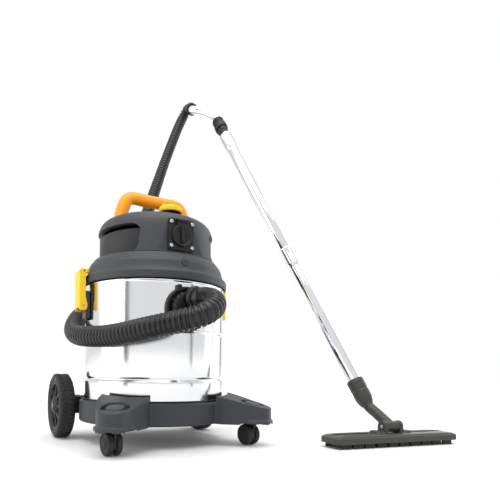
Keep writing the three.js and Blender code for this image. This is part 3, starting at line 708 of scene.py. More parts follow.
class VACUUM_OT_stage(Builder, Operator):
    """Camera, pale floor, soft lights and dark cards that shape the metal's reflections"""
    bl_idname = "vacuum.stage"
    bl_label = "Stage"

    def execute(self, context):
        scene = context.scene
        a = radians(CAMERA_AZIMUTH)
        right = Vector((cos(a), sin(a), 0))
        back = Vector((sin(a), -cos(a), 0))
        up = Vector((0, 0, 1))
        c, s = cos(CAMERA_ROLL), sin(CAMERA_ROLL)
        turned_right, turned_up = right * c + up * s, up * c - right * s
        data = bpy.data.cameras.new("camera")
        data.lens, data.sensor_width = LENS, 36.0
        data.shift_x, data.shift_y = 0.1, 0.242
        data.clip_end = 50
        cam = bpy.data.objects.new("camera", data)
        m = Matrix((turned_right, turned_up, back)).transposed().to_4x4()
        m.translation = at(*CAMERA_AT)
        cam.matrix_world = m
        scene.collection.objects.link(cam)
        scene.camera = cam

        bm = bmesh.new()
        bmesh.ops.create_grid(bm, x_segments=8, y_segments=8, size=9.0)
        floor = to_object("studio_floor", bm)
        floor.location = (0, 0, -0.0002)
        floor.data.materials.append(studio_white())

        world = bpy.data.worlds.new("studio")
        world.use_nodes = True
        sky = world.node_tree.nodes["Background"]
        sky.inputs[0].default_value = (1, 1, 1, 1)
        # Sheet lamps overhead do more of the lighting than the room, so sides fall off in tone.
        tree = world.node_tree
        path = tree.nodes.new("ShaderNodeLightPath")
        level = tree.nodes.new("ShaderNodeMapRange")
        level.inputs["To Min"].default_value = 1.0
        level.inputs["To Max"].default_value = 0.72
        tree.links.new(path.outputs["Is Diffuse Ray"], level.inputs["Value"])
        tree.links.new(level.outputs["Result"], sky.inputs[1])
        scene.world = world
        scene.view_settings.view_transform = "Standard"
        scene.view_settings.look = "None"

        def lamp(name, where, target, size, power):
            light = bpy.data.lights.new(name, "AREA")
            light.shape, light.size, light.size_y, light.energy = "RECTANGLE", *size, power
            obj = bpy.data.objects.new(name, light)
            obj.matrix_world = aim(at(*where), at(*where) - at(*target), (1, 0, 0))
            obj.visible_camera = False
            scene.collection.objects.link(obj)

        lamp("key_above", (-300, -600, 2300), (0, 0, 200), (2.4, 2.0), 48)
        lamp("left_wall", (-2250, 260, 800), (0, 0, 500), (2.2, 1.9), 20)
        lamp("right_wall", (2350, 120, 800), (0, 0, 500), (2.6, 1.9), 22)

        # Dark cards and one grey one: their mirror images are the bands on drum and tubes.
        def card(name, foot, azimuth, distance, width, high, shade):
            t = radians(azimuth)
            way = Vector((-sin(t), -cos(t), 0))
            bm = bmesh.new()
            brick(bm, width, high, 4, aim(at(foot[0], foot[1], high / 2) + way * distance * MM, way,
                                          Vector((cos(t), -sin(t), 0))))
            obj = to_object(name, bm)
            obj.data.materials.append(flag_card(shade))
            obj.visible_camera = obj.visible_shadow = obj.visible_diffuse = False

        card("card_left", (-101, -104), 71.4, 1600, 105, 2300, 0.004)
        card("card_left_soft", (-101, -104), 67.4, 1610, 120, 2300, 0.2)
        card("card_right", (12, -144), -37.8, 1600, 95, 1500, 0.004)
        card("card_behind_right", (102, -103), -121, 1500, 150, 1600, 0.01)
        return {"FINISHED"}


class VACUUM_OT_hose(Builder, Operator):
    """Ribbed suction hose from the inlet round the drum and up to the bent tube"""
    bl_idname = "vacuum.hose"
    bl_label = "Hose"

    def execute(self, context):
        sizes = context.scene.vacuum_sizes
        pitch, depth = sizes.ridge_pitch, sizes.ridge_depth
        line, length = spline([at(*p) for p in HOSE_ROUTE], pitch / 8)
        n, sides = len(line), 36
        step = length / (n - 1)

        def radius(i, k):
            t = i / (n - 1)
            base = HOSE_R + (HOSE_TIP_R - HOSE_R) * smoothstep(t, 0.5, 0.86)
            if i * step < 0.012 or (n - 1 - i) * step < 0.012:
                return (base - 0.3) * MM
            wave = 0.5 + 0.5 * cos(2 * pi * (i * step / pitch + k / sides))
            return base * MM - depth * (base / HOSE_R) * (1 - smoothstep(wave, 0.16, 0.62))

        bm = bmesh.new()
        sweep(bm, line, radius, sides)
        obj = piece("suction_hose", bm, finishes()["hose"], "machine", ["hose"], 60)
        return {"FINISHED"}


class VACUUM_OT_drum(Builder, Operator):
    """Rolled steel drum with its grooves, top bead and back seam"""
    bl_idname = "vacuum.drum"
    bl_label = "Drum"

    def execute(self, context):
        f = finishes()
        outer = [(0, 58.3), (140, 58.3), (145.5, 59), (147.4, 62), (147.4, 123)]
        outer += [(147.4, 124.5), (146.6, 126.4), (144.6, 127.6), (143.3, 128.8), (143.1, 130),
                  (143.5, 131.6), (144.6, 133), (145, 135)]
        outer += [(145, 215)]
        outer += [(145 - 2.3 * (0.5 + 0.5 * cos(pi * k / 6)), 222 + 0.75 * k) for k in range(-6, 7)]
        outer += [(145, 229), (145, 311), (145.2, 312.5)]
        outer += arc(144.2, 315.8, 2.6, -55, 150, 12)
        inner = [(142.6, 313), (142.6, 64), (140, 61), (0, 61)]
        bm = bmesh.new()
        turn(bm, outer + inner, place(), 192)
        obj = piece("steel_drum", bm, f["drum"], "machine", ["drum"], 40)
        tool = bmesh.new()
        turn(tool, [(0, 0), (27.2, 0), (27.2, 60), (0, 60)], front(0, -100, INLET_Z), 48)
        cut = to_object("inlet_cut", tool, 0)
        mod = obj.modifiers.new("inlet", "BOOLEAN")
        mod.operation, mod.solver, mod.object = "DIFFERENCE", "EXACT", cut
        bake(obj)
        bpy.data.objects.remove(cut)
        obj.data.set_sharp_from_angle(angle=radians(40))
        seam = bmesh.new()
        brick(seam, 3.2, 0.7, 84, place(0, 145.2, 173))
        brick(seam, 3.2, 0.7, 78, place(0, 145.2, 268))
        piece("drum_seam", seam, f["drum"], "machine", bevel=0.25)
        return {"FINISHED"}


class VACUUM_OT_base(Builder, Operator):
    """Wheeled base: ring, front feet with caster pegs and rear wheel brackets"""
    bl_idname = "vacuum.base"
    bl_label = "Wheeled base"

    def execute(self, context):
        f = finishes()
        x, y = FOOT
        turned = place(x, y, 0, FOOT_TURN)
        band = bmesh.new()
        turn(band, [(0, 50), (144, 50), (144, BASE_LOW), (153, BASE_LOW), (156, 44.5), (BASE_R, 47),
                    (BASE_R, 82), (156, 85), (153.5, BASE_TOP), (DRUM_SEAT_R, BASE_TOP),
                    (DRUM_SEAT_R, 58), (0, 58)], place(), 160)

        nose = [(33, 0), (30.5, -10), (26.5, -19), (20.5, -28), (13, -33), (6, -35)]

        def outline(half, grow):
            """Plan of the foot: round nose, slanting sides, square back."""
            right_side = [(u + grow, v - (grow * 0.7 if i else 0)) for i, (u, v) in enumerate(half)]
            return right_side[::-1] + [(-u, v) for u, v in right_side]

        def slab(points, low, high):
            bm = bmesh.new()
            prism(bm, points, high - low, turned @ Matrix.Translation((0, 0, low * MM)))
            return bm

        # Top of the foot slopes down to its nose: the block above that slope is taken away.
        above = bmesh.new()
        brick(above, 240, 260, 60, turned @ Matrix.Translation((0, 0, FOOT_STEM_HIGH * MM))
              @ Matrix.Rotation(radians(FOOT_TOP_SLOPE), 4, "X") @ Matrix.Translation((0, 0, 0.03)))
        clear = bmesh.new()
        turn(clear, [(0, 20), (157.2, 20), (157.2, 140), (0, 140)], place(), 160)
        recess = bmesh.new()
        turn(recess, [(16.5, 78), (24, 78), (25, 79), (26, 125), (0, 125), (0, 88), (15.5, 88),
                      (16.5, 87)], turned @ Matrix.Translation((0, 2 * MM, 0)), 64)
        well = bmesh.new()
        turn(well, [(0, 30), (37.8, 30), (37.8, 45.6), (6, 45.6), (6, 65.6), (0, 65.6)],
             place(x, y, 0), 64)
        body = slab(outline([(48, 86), (46, 45), *nose], 0), BASE_LOW, FOOT_TOP)
        lip = slab(outline(nose, 3.5), BASE_LOW, BASE_LOW + 9)
        groups = [(body, [above, clear, recess, well]), (lip, [clear, well])]
        solids = [carved([band], [])]
        for part, tools in groups:
            done = carved([part], tools)
            solids += [done, both(done)]
        moulded("wheeled_base", solids, [], 1.5, f["body"], "machine",
                ["base_ring", "foot_left", "foot_right"], 0.4, 3)

        # Painted shadow: a thin black ring just above the base ring stands in for the shaded gap under the
        # drum's lower edge.
        gap_shadow_ring = bmesh.new()
        turn(gap_shadow_ring, [(147.5, 80), (149, 80), (149, 88.5), (148.6, 89.5), (147.5, 89.5)], place(), 160)
        piece("drum_gap_painted_shadow", gap_shadow_ring, f["black"], "machine")

        arm = bmesh.new()
        bx, by = WHEEL[0], WHEEL[1]
        prism(arm, rounded(29, 60, 8), 38, place(bx - 17, by, 53), crown=5)
        tie = bmesh.new()
        prism(tie, rounded(40, 40, 8), 38, place(bx - 34, by - 22, 53), crown=5)
        stub = bmesh.new()
        turn(stub, [(0, 0), (6, 0), (6, 37), (0, 37)],
             aim(at(bx - 3, by, WHEEL[2]), (1, 0, 0), (0, 0, 1)), 32)
        clear = bmesh.new()
        turn(clear, [(0, 30), (157.4, 30), (157.4, 140), (0, 140)], place(), 128)
        parts = [arm, tie, stub]
        moulded("rear_bracket_right", [b.copy() for b in parts], [clear.copy()], 0.9, f["dark"],
                "machine", ["bracket_right"], 0.5)
        moulded("rear_bracket_left", [both(b) for b in parts], [clear], 0.9, f["dark"],
                "machine", ["bracket_left"], 0.5)
        return {"FINISHED"}


class VACUUM_OT_rear_wheels(Builder, Operator):
    """Rear wheels: ribbed rubber tyres on spoked hubs"""
    bl_idname = "vacuum.rear_wheels"
    bl_label = "Rear wheels"

    def execute(self, context):
        f, sizes = finishes(), context.scene.vacuum_sizes
        w = 34.0
        for side, name in ((-1, "left"), (1, "right")):
            m = aim(at(side * WHEEL[0], WHEEL[1], WHEEL[2]), (side, 0, 0), (0, 0, 1))
            bm = bmesh.new()
            turn(bm, [(52.2, 2.5), (56, 1), (62, 0.4), (65.6, 2.5), (67.2, 6.5), (67.7, 10),
                      (67.7, w - 10), (67.2, w - 6.5), (65.6, w - 2.5), (62, w - 0.4), (56, w - 1),
                      (52.2, w - 2.5)], m, 128)
            for k in range(sizes.tread_ribs):
                a = 2 * pi * k / sizes.tread_ribs
                turn_to = m @ Matrix.Rotation(a, 4, "Z")
                for half in (-1, 1):
                    brick(bm, 3.2, 4.6, 10.5, turn_to @ Matrix.Translation(
                        (67.0 * MM, 0, (w / 2 + half * 7.6) * MM)) @ Matrix.Rotation(
                            half * 0.28, 4, "X"))
            piece(f"rear_tyre_{name}", bm, f["rubber"], f"wheel_{name}", [f"tyre_{name}"],
                  40, 0.35)
            bm = bmesh.new()
            turn(bm, [(46.5, 4), (52, 4), (52, w - 3), (49.5, w - 2), (46.5, w - 5)], m, 96)
            turn(bm, [(6.3, 1), (20, 1), (21, 3), (21, w - 7), (18, w - 2), (11, w + 2),
                      (6.3, w + 2.6)], m, 64)
            turn(bm, [(19, 11), (48, 13), (48, w - 16), (19, w - 14)], m, 96)
            for k in range(sizes.spokes):
                a = 2 * pi * k / sizes.spokes
                brick(bm, 30, 5.2, 20, m @ Matrix.Rotation(a, 4, "Z") @ Matrix.Translation(
                    (33.5 * MM, 0, (w - 15) * MM)) @ Matrix.Rotation(0.1, 4, "Y"))
                brick(bm, 28, 3.2, 12, m @ Matrix.Rotation(a + pi / sizes.spokes, 4, "Z")
                      @ Matrix.Translation((34 * MM, 0, 9 * MM)))
            piece(f"rear_hub_{name}", bm, f["dark"], f"wheel_{name}", [f"hub_{name}"], 35,
                  0.5)
            bm = bmesh.new()
            turn(bm, [(0, w + 2.8), (0, w - 1), (5.6, w - 1), (5.6, w + 1.6), (4, w + 2.8)], m, 32)
            piece(f"axle_cap_{name}", bm, f["zinc"], f"wheel_{name}", bevel=0.3)
        return {"FINISHED"}


class VACUUM_OT_casters(Builder, Operator):
    """Front casters: swivel forks with twin wheels"""
    bl_idname = "vacuum.casters"
    bl_label = "Casters"

    def execute(self, context):
        f = finishes()
        for side, name in ((-1, "left"), (1, "right")):
            x, y = side * FOOT[0], FOOT[1]
            bm = bmesh.new()
            turn(bm, [(0, 42.5), (14, 42.4), (16.4, 43), (16.4, 44.6), (5, 44.7), (5, 60), (4, 61.5),
                      (0, 61.5)], place(x, y, 0), 40)
            trail = place(x, y, 0, CASTER_TURN)
            brick(bm, 5, 25, 31, trail @ Matrix.Translation((0, 0.009, 0.028)))
            hood = trail @ Matrix.Translation((-0.0025, 0.014, 0.021)) @ Matrix.Rotation(
                pi / 2, 4, "Y")
            turn(bm, [(0, 0), (12, 0), (12, 5), (0, 5)], hood, 40)
            pin = hood @ Matrix.Translation((0, 0, -0.0125))
            turn(bm, [(0, 0), (3, 0), (3, 30), (0, 30)], pin, 24)
            piece(f"caster_body_{name}", bm, f["black"], f"caster_{name}",
                  [f"caster_fork_{name}"], 35, 0.4)
            for way, letter in ((-1, "a"), (1, "b")):
                m = trail @ Matrix.Translation((way * 0.0029, 0.014, 0.021)) @ Matrix.Rotation(
                    way * pi / 2, 4, "Y")
                bm = bmesh.new()
                turn(bm, [(3.3, 0.4), (9, 0.4), (13, 0.6), (17, 0.4), (20, 1), (20.9, 2.8),
                          (21, 5.5), (20.7, 8.2), (19.4, 10.2), (17.4, 10.9), (16.6, 9.9),
                          (15, 9.4), (9.6, 9.6), (8.6, 10.6), (7, 11.2), (3.3, 11.2)], m, 64)
                piece(f"caster_roller_{name}_{letter}", bm, f["rubber"],
                      f"roller_{name}_{letter}", [f"caster_wheel_{name}_{letter}"], 40)
        return {"FINISHED"}


class VACUUM_OT_inlet(Builder, Operator):
    """Suction inlet on the drum with the turned collar and cuff of the hose"""
    bl_idname = "vacuum.inlet"
    bl_label = "Inlet"

    def execute(self, context):
        f = finishes()
        m = front(0, -145, INLET_Z)
        bm = bmesh.new()
        turn(bm, [(23.7, -6), (23.7, -38), (27, -38), (27, 3.4), (36, 3.4), (37, 6), (41, 6),
                  (42.6, 4.8), (43, 2), (43, -0.3), (40, -2.6), (27.2, -3)], m, 96)
        for k in range(6):
            a = pi / 6 + k * pi / 3
            turn(bm, [(0, 3), (3, 3), (3, 5.4), (2, 6.2), (0, 6.2)],
                 m @ Matrix.Translation((32.5 * MM * cos(a), 32.5 * MM * sin(a), 0)), 20)
        piece("inlet_plate", bm, f["black"], "machine", ["inlet_flange"], 35, 0.3)
        lug = bmesh.new()
        prism(lug, rounded(9, 14, 2.5), 8, front(-17, -146, INLET_Z + 38))
        piece("inlet_lug", lug, f["black"], "machine", bevel=0.8)

        start, way, _, _ = hose_ways()
        bm = bmesh.new()
        turn(bm, [(0, 6.6), (30.5, 6.6), (32.6, 8), (33, 9.5), (32.2, 11), (30.4, 11.6), (31, 13),
                  (30, 15.4), (22, 15.6), (20.4, 15.6), (0, 15.6)], m, 96)
        turn(bm, [(0, -33), (20.5, -33), (20.5, 12), (0, 12)], m, 64)
        for k in range(20):
            a = 2 * pi * k / 20
            brick(bm, 2.4, 3.4, 5.6, m @ Matrix.Rotation(a, 4, "Z") @ Matrix.Translation(
                (32.0 * MM, 0, 9.6 * MM)))
        cuff = aim(start - way * 0.0006, -way, (0, 0, 1))
        turn(bm, [(0, 0), (20.8, 0), (22.4, 0.8), (23.4, 2.4), (23.4, 8), (22, 12), (0, 12)], cuff,
             72)
        piece("inlet_collar", bm, f["black"], "machine", ["inlet_elbow"], 35, 0.25)
        return {"FINISHED"}


class VACUUM_OT_head(Builder, Operator):
    """Power head: flange, cover with its front panel and vents, gasket and gland"""
    bl_idname = "vacuum.head"
    bl_label = "Power head"

    def execute(self, context):
        f = finishes()
        base = bmesh.new()
        turn(base, [(45, 323), (147.3, 323), (147.3, 319.6), (148.5, 318.5), (151, 318.5),
                    (152, 319.5), (152, 331.5), (151.2, 333.6), (149, 335.6), (145.4, 337.2),
                    (143.4, 343), (141, 354), (137, 362), (132, 367.6), (129.4, 371.9),
                    (124, 371.9), (124, 362), (134, 345), (134, 331), (45, 331)], place(), 160)
        plug = aim(at(0, -131.4, 348.8), (0, -cos(SKIRT_SLOPE), sin(SKIRT_SLOPE)), (1, 0, 0))
        bore = bmesh.new()
        turn(bore, [(0, -6), (7.3, -6), (7.3, 20), (0, 20)], plug, 40)
        # Short upright joint line below the front corner of each sunk panel.
        lines = []
        for side in (-1, 1):
            bm = bmesh.new()
            t = radians(47.5)
            brick(bm, 1.3, 16, 30, place(side * 139 * sin(t), -139 * cos(t), 362, -side * 42.5))
            lines.append(bm)
        moulded("head_flange", [base], [bore, *lines], 1.15, f["body"], "head", ["head_base"],
                0.42, 3)

        dome = bmesh.new()
        turn(dome, [(0, 372.3), (128.4, 372.3), (127.6, 378), (126, 390), (124.6, 404), (123, 418),
                    (121.4, 429), (119.4, 437), (116, 444), (111, 450), (103, 455), (92, 458.6),
                    (78, 460.8), (60, 461.8), (0, 462)], place(), 160)
        cut_list = []

        def cutter(fill, *args):
            bm = bmesh.new()
            fill(bm, *args)
            cut_list.append(bm)

        cutter(turn, [(0, 300), (109, 300), (109, 434), (100, 448), (60, 455), (0, 455)], place(), 96)
        cutter(brick, 300, 60, 200, place(0, PANEL_Y - 30, 473.5))
        cutter(turn, [(0, 430), (10.5, 430), (10.5, 480), (0, 480)], place(0, KNOB_Y, 0), 40)
        cutter(prism, rounded(40, 44, 5), 40, front(0, PANEL_Y + 30, SOCKET_Z))
        cutter(turn, [(0, 0), (8.3, 0), (8.3, 40), (0, 40)],
               aim(at(0, 100, 395), (0, 1, 0), (1, 0, 0)), 40)
        for side in (-1, 1):
            cut_list.append(common(ring(VENT_R, 142, 371, 428),
                                   side_panel(side, -98, 82, 366, 428, 18)))
            slot = bmesh.new()
            brick(slot, 120, 168, 9, place(side * 128, -9, 423.5))
            cut_list.append(common(ring(107, 119, 419, 428.2), slot))
        for x in (-1, 1):
            cutter(turn, [(13.6, 450), (15.4, 450), (15.4, 470), (13.6, 470)],
                   place(x * 77, HANDLE_Y, 0), 48)
        moulded("head_shell", [dome], cut_list, 1.05, f["body"], "head", ["head_cover"],
                0.4, 3)

        for side, name in ((-1, "left"), (1, "right")):
            bm = common(ring(VENT_R + 0.3, VENT_R + 2.3, 373, 417),
                        side_panel(side, -95, 79, 364, 440, 16))
            piece(f"vent_cover_{name}", bm, f["dark"], "head", [f"vent_panel_{name}"],
                  32, 0.5)

        bm = bmesh.new()
        turn(bm, [(137, 319.3), (146, 319.3), (146, 322.7), (137, 322.7)], place(), 128)
        piece("head_seal", bm, f["rubber"], "head", ["head_gasket"], 30, 0.5)

        back = aim(at(0, 114, 395), (0, 1, 0), (1, 0, 0))
        bm = bmesh.new()
        turn(bm, [(3.5, -8), (8, -8), (8, 13.4), (11.2, 14), (11.5, 15), (11.5, 18), (10.6, 19),
                  (9, 19.4), (8.6, 21.5), (7.6, 22), (8, 24.5), (6.9, 25), (7.2, 28), (6.2, 28.5),
                  (6.4, 31.5), (5.6, 34), (3.5, 34)], back, 40)
        piece("cord_inlet_gland", bm, f["black"], "head", ["cord_gland"], 30)

        bm = bmesh.new()
        turn(bm, [(0, 0), (7, 0), (7, 9.6), (6.4, 10.6), (5.4, 10.9), (3.4, 10.7), (3, 9.9),
                  (0, 9.6)], plug, 40)
        piece("knock_out_plug", bm, f["smooth_body"], "head", ["knock_out"], 30)
        return {"FINISHED"}


class VACUUM_OT_handle(Builder, Operator):
    """Carry handle"""
    bl_idname = "vacuum.handle"
    bl_label = "Handle"

    def execute(self, context):
        f = finishes()
        bar = HANDLE_BAR
        half = [(80, 440), (76, 468), (71, 488), (62, bar - 6), (50, bar), (26, bar)]
        route = [(-x, z) for x, z in half] + [(x, z) for x, z in reversed(half)]
        line, _ = spline([at(x, HANDLE_Y, z) for x, z in route], 0.002)
        rod = bmesh.new()
        sweep(rod, line, lambda i, k: (13.3 - 0.5 * cos(4 * pi * k / 64)) * MM, 64)
        dome = bmesh.new()
        turn(dome, [(0, 380), (128.7, 380), (126.3, 390.3), (123.3, 418.3), (119.7, 437.3),
                    (111.3, 450.3), (103.3, 455.3), (92.3, 458.9), (60.3, 462.1), (0, 462.3)],
             place(), 96)
        # Mould line along the underside of the grip.
        line_cut = bmesh.new()
        brick(line_cut, 96, 1.2, 3, place(0, HANDLE_Y, bar - 13.6))
        moulded("carry_handle", [rod], [dome, line_cut], 0.9, f["handle"], "head", ["handle"],
                0.4, 3)
        collars = bmesh.new()
        for x in (-77, 77):
            turn(collars, [(13.9, 459), (16.6, 459), (17, 460), (16.6, 463.2), (15.6, 463.8),
                           (13.9, 463.8)], place(x, HANDLE_Y, 0), 48)
        piece("handle_base_rings", collars, f["dark"], "head", bevel=0.3)
        return {"FINISHED"}


class VACUUM_OT_knob(Builder, Operator):
    """Rotary switch knob on its collar"""
    bl_idname = "vacuum.knob"
    bl_label = "Switch knob"

    def execute(self, context):
        f = finishes()
        m = place(0, KNOB_Y, 0)
        bm = bmesh.new()
        turn(bm, [(0, 444), (6, 444), (6, 466.9), (9.6, 466.9), (9.6, 465), (22.6, 465), (23, 466),
                  (23, 471.5), (22.2, 474.5), (20, 476.2), (0, 476.6)], m, 72)
        for k in range(30):
            a = 2 * pi * k / 30
            brick(bm, 1.8, 2.2, 7, m @ Matrix.Rotation(a, 4, "Z") @ Matrix.Translation(
                (22.9 * MM, 0, 469.2 * MM)))
        brick(bm, 36, 7, 6, m @ Matrix.Translation((0, 0, 477.4 * MM)))
        piece("power_knob", bm, f["latch"], "knob", ["switch_knob"], 35, 0.45)
        bm = bmesh.new()
        turn(bm, [(6.5, 448), (10, 448), (10, 462.3), (21.4, 462.3), (22, 463), (21.4, 464.6),
                  (9, 464.6), (9, 466.6), (6.5, 466.6)], m, 72)
        piece("power_knob_collar", bm, f["black"], "head", ["knob_collar"], 30, 0.2)
        return {"FINISHED"}


class VACUUM_OT_socket(Builder, Operator):
    """Power take-off socket with its plate, screws and hinged flap"""
    bl_idname = "vacuum.socket"
    bl_label = "Socket"

    def execute(self, context):
        f = finishes()
        plate, well = bmesh.new(), bmesh.new()
        prism(plate, rounded(55, 61, 4), 5, front(0, PANEL_Y - 0.3, SOCKET_Z), crown=1.2)
        prism(well, rounded(38, 42, 4), 24, front(0, PANEL_Y + 22, SOCKET_Z))
        bore = bmesh.new()
        turn(bore, [(0, 0), (17, 0), (17, 30), (0, 30)], front(0, PANEL_Y + 17.2, SOCKET_Z - 2), 64)
        cutters = [bore]
        for x, z in SCREWS:
            bm = bmesh.new()
            turn(bm, [(0, 0), (2.6, 0), (2.6, 9), (4.3, 9), (4.3, 14), (0, 14)],
                 front(x, PANEL_Y + 4.4, z), 28)
            cutters.append(bm)
        moulded("socket_face", [plate, well], cutters, 0.55, f["black"], "head",
                ["socket_plate"], 0.4, 3)
        for i, (x, z) in enumerate(SCREWS):
            bm = bmesh.new()
            m = front(x, PANEL_Y + 3, z)
            turn(bm, [(0, 0), (2.3, 0), (2.3, 8.6), (3.7, 8.6), (3.8, 9.6), (3.1, 10.5), (0, 10.8)],
                 m, 32)
            tools = []
            for k in (0, 1):
                tool = bmesh.new()
                brick(tool, 4.4, 1.0, 3, m @ Matrix.Translation((0, 0, 11.2 * MM))
                      @ Matrix.Rotation(0.5 + k * pi / 2, 4, "Z"))
                tools.append(tool)
            moulded(f"plate_screw_{i + 1}", [bm], tools, 0.16, f["zinc"], "head",
                    [f"socket_screw_{i + 1}"], 0.4, 2)
        y = PANEL_Y - 5.6
        bm = bmesh.new()
        m = front(0, y, SOCKET_Z - 2)
        turn(bm, [(0, 0), (20, 0), (21, 0.8), (21, 3), (20.2, 4), (18.4, 4.2), (17.4, 3.2),
                  (14, 2.7), (0, 2.6)], m, 72)
        for k in range(5):
            brick(bm, 20 - abs(k - 2) * 3.6, 1.3, 1.0,
                  m @ Matrix.Translation((0, (k - 2) * 5.4 * MM, 2.9 * MM)))
        brick(bm, 24, 13, 3.6, front(0, y - 2, SOCKET_Z + 18.6))
        turn(bm, [(0, -12), (3.3, -12), (3.3, 12), (0, 12)],
             aim(at(0, y - 3.6, SOCKET_Z + 26), (1, 0, 0), (0, 0, 1)), 32)
        brick(bm, 7, 30, 2.2, front(0, y - 5, SOCKET_Z))
        brick(bm, 11, 3, 2, front(0, y - 4, SOCKET_Z - 21.4))
        piece("socket_flap_lid", bm, f["black"], "flap", ["socket_flap"], 35, 0.35)
        return {"FINISHED"}


class VACUUM_OT_latches(Builder, Operator):
    """Side latches with their brackets and pins"""
    bl_idname = "vacuum.latches"
    bl_label = "Latches"

    def execute(self, context):
        f = finishes()
        px, pz = LATCH_PIVOT
        lever = [(px + 3, pz - 8.5), (px + 7, pz - 8.2), (px + 9, pz - 6), (px + 9, 338),
                 (px + 8.4, 342), (px + 5.8, 345), (px + 2.5, 345.6), (px - 10.2, 345.5),
                 (px - 9.4, 338.6), (px - 5.5, 338.2), (px - 4.3, 336.4), (px - 4, 333),
                 (px - 4, pz + 20), (px - 5.5, pz + 12), (px - 7.4, pz + 5), (px - 7.6, pz),
                 (px - 6.6, pz - 4), (px - 4, pz - 7.4), (px, pz - 8.6)]
        blade = bmesh.new()
        prism(blade, lever, 34, front(0, 17, 0))
        hollow, beneath = bmesh.new(), bmesh.new()
        brick(hollow, 24, 28, 120, place(px - 6, 0, 275))
        brick(beneath, 40, 28, 30, place(px, 0, pz - 18))
        bore = bmesh.new()
        turn(bore, [(0, -30), (2.5, -30), (2.5, 30), (0, 30)], front(px, 0, pz), 28)
        dish = bmesh.new()
        prism(dish, rounded(20, 30, 6), 6, aim(at(px + 8, 0, 312), (1, 0, 0), (0, 1, 0)))
        roll = bmesh.new()
        turn(roll, [(0, -40), (1.7, -40), (1.7, 40), (0, 40)], front(px - 1.5, 0, 341.3), 24)
        pad, ear_a, ear_b = bmesh.new(), bmesh.new(), bmesh.new()
        prism(pad, rounded(26, 57, 4), 8.4, aim(at(px - 13.2, 0, 275), (1, 0, 0), (0, 1, 0)),
              crown=1.5)
        ear = [(px - 9, pz - 5.4), *arc(px, pz, 5.4, -90, 90, 10), (px - 9, pz + 5.4)]
        prism(ear_a, ear, 3.4, front(0, -9.3, 0))
        prism(ear_b, ear, 3.4, front(0, 12.7, 0))
        wall = bmesh.new()
        turn(wall, [(0, 100), (145.3, 100), (145.3, 400), (0, 400)], place(), 128)
        for name, image in (("right", lambda b: b.copy()), ("left", both)):
            moulded(f"side_latch_{name}", [image(blade)],
                    [image(hollow), image(beneath), image(bore), image(dish), image(roll)], 0.6, f["latch"],
                    f"latch_{name}", [f"latch_{name}"], 0.4, 3)
            moulded(f"latch_mount_{name}", [image(pad), image(ear_a), image(ear_b)],
                    [image(bore), wall.copy()], 0.7, f["smooth_body"], "machine",
                    [f"latch_bracket_{name}"], 0.4, 3)
            bm = bmesh.new()
            turn(bm, [(0, -17.3), (1.9, -17.3), (2.2, -16.8), (2.2, 16.8), (1.9, 17.3), (0, 17.3)],
                 front((1 if name == "right" else -1) * px, 0, pz), 24)
            piece(f"latch_axle_{name}", bm, f["zinc"], "machine", [f"latch_pin_{name}"])
        for bm in (blade, hollow, beneath, bore, dish, roll, pad, ear_a, ear_b, wall):
            bm.free()
        return {"FINISHED"}


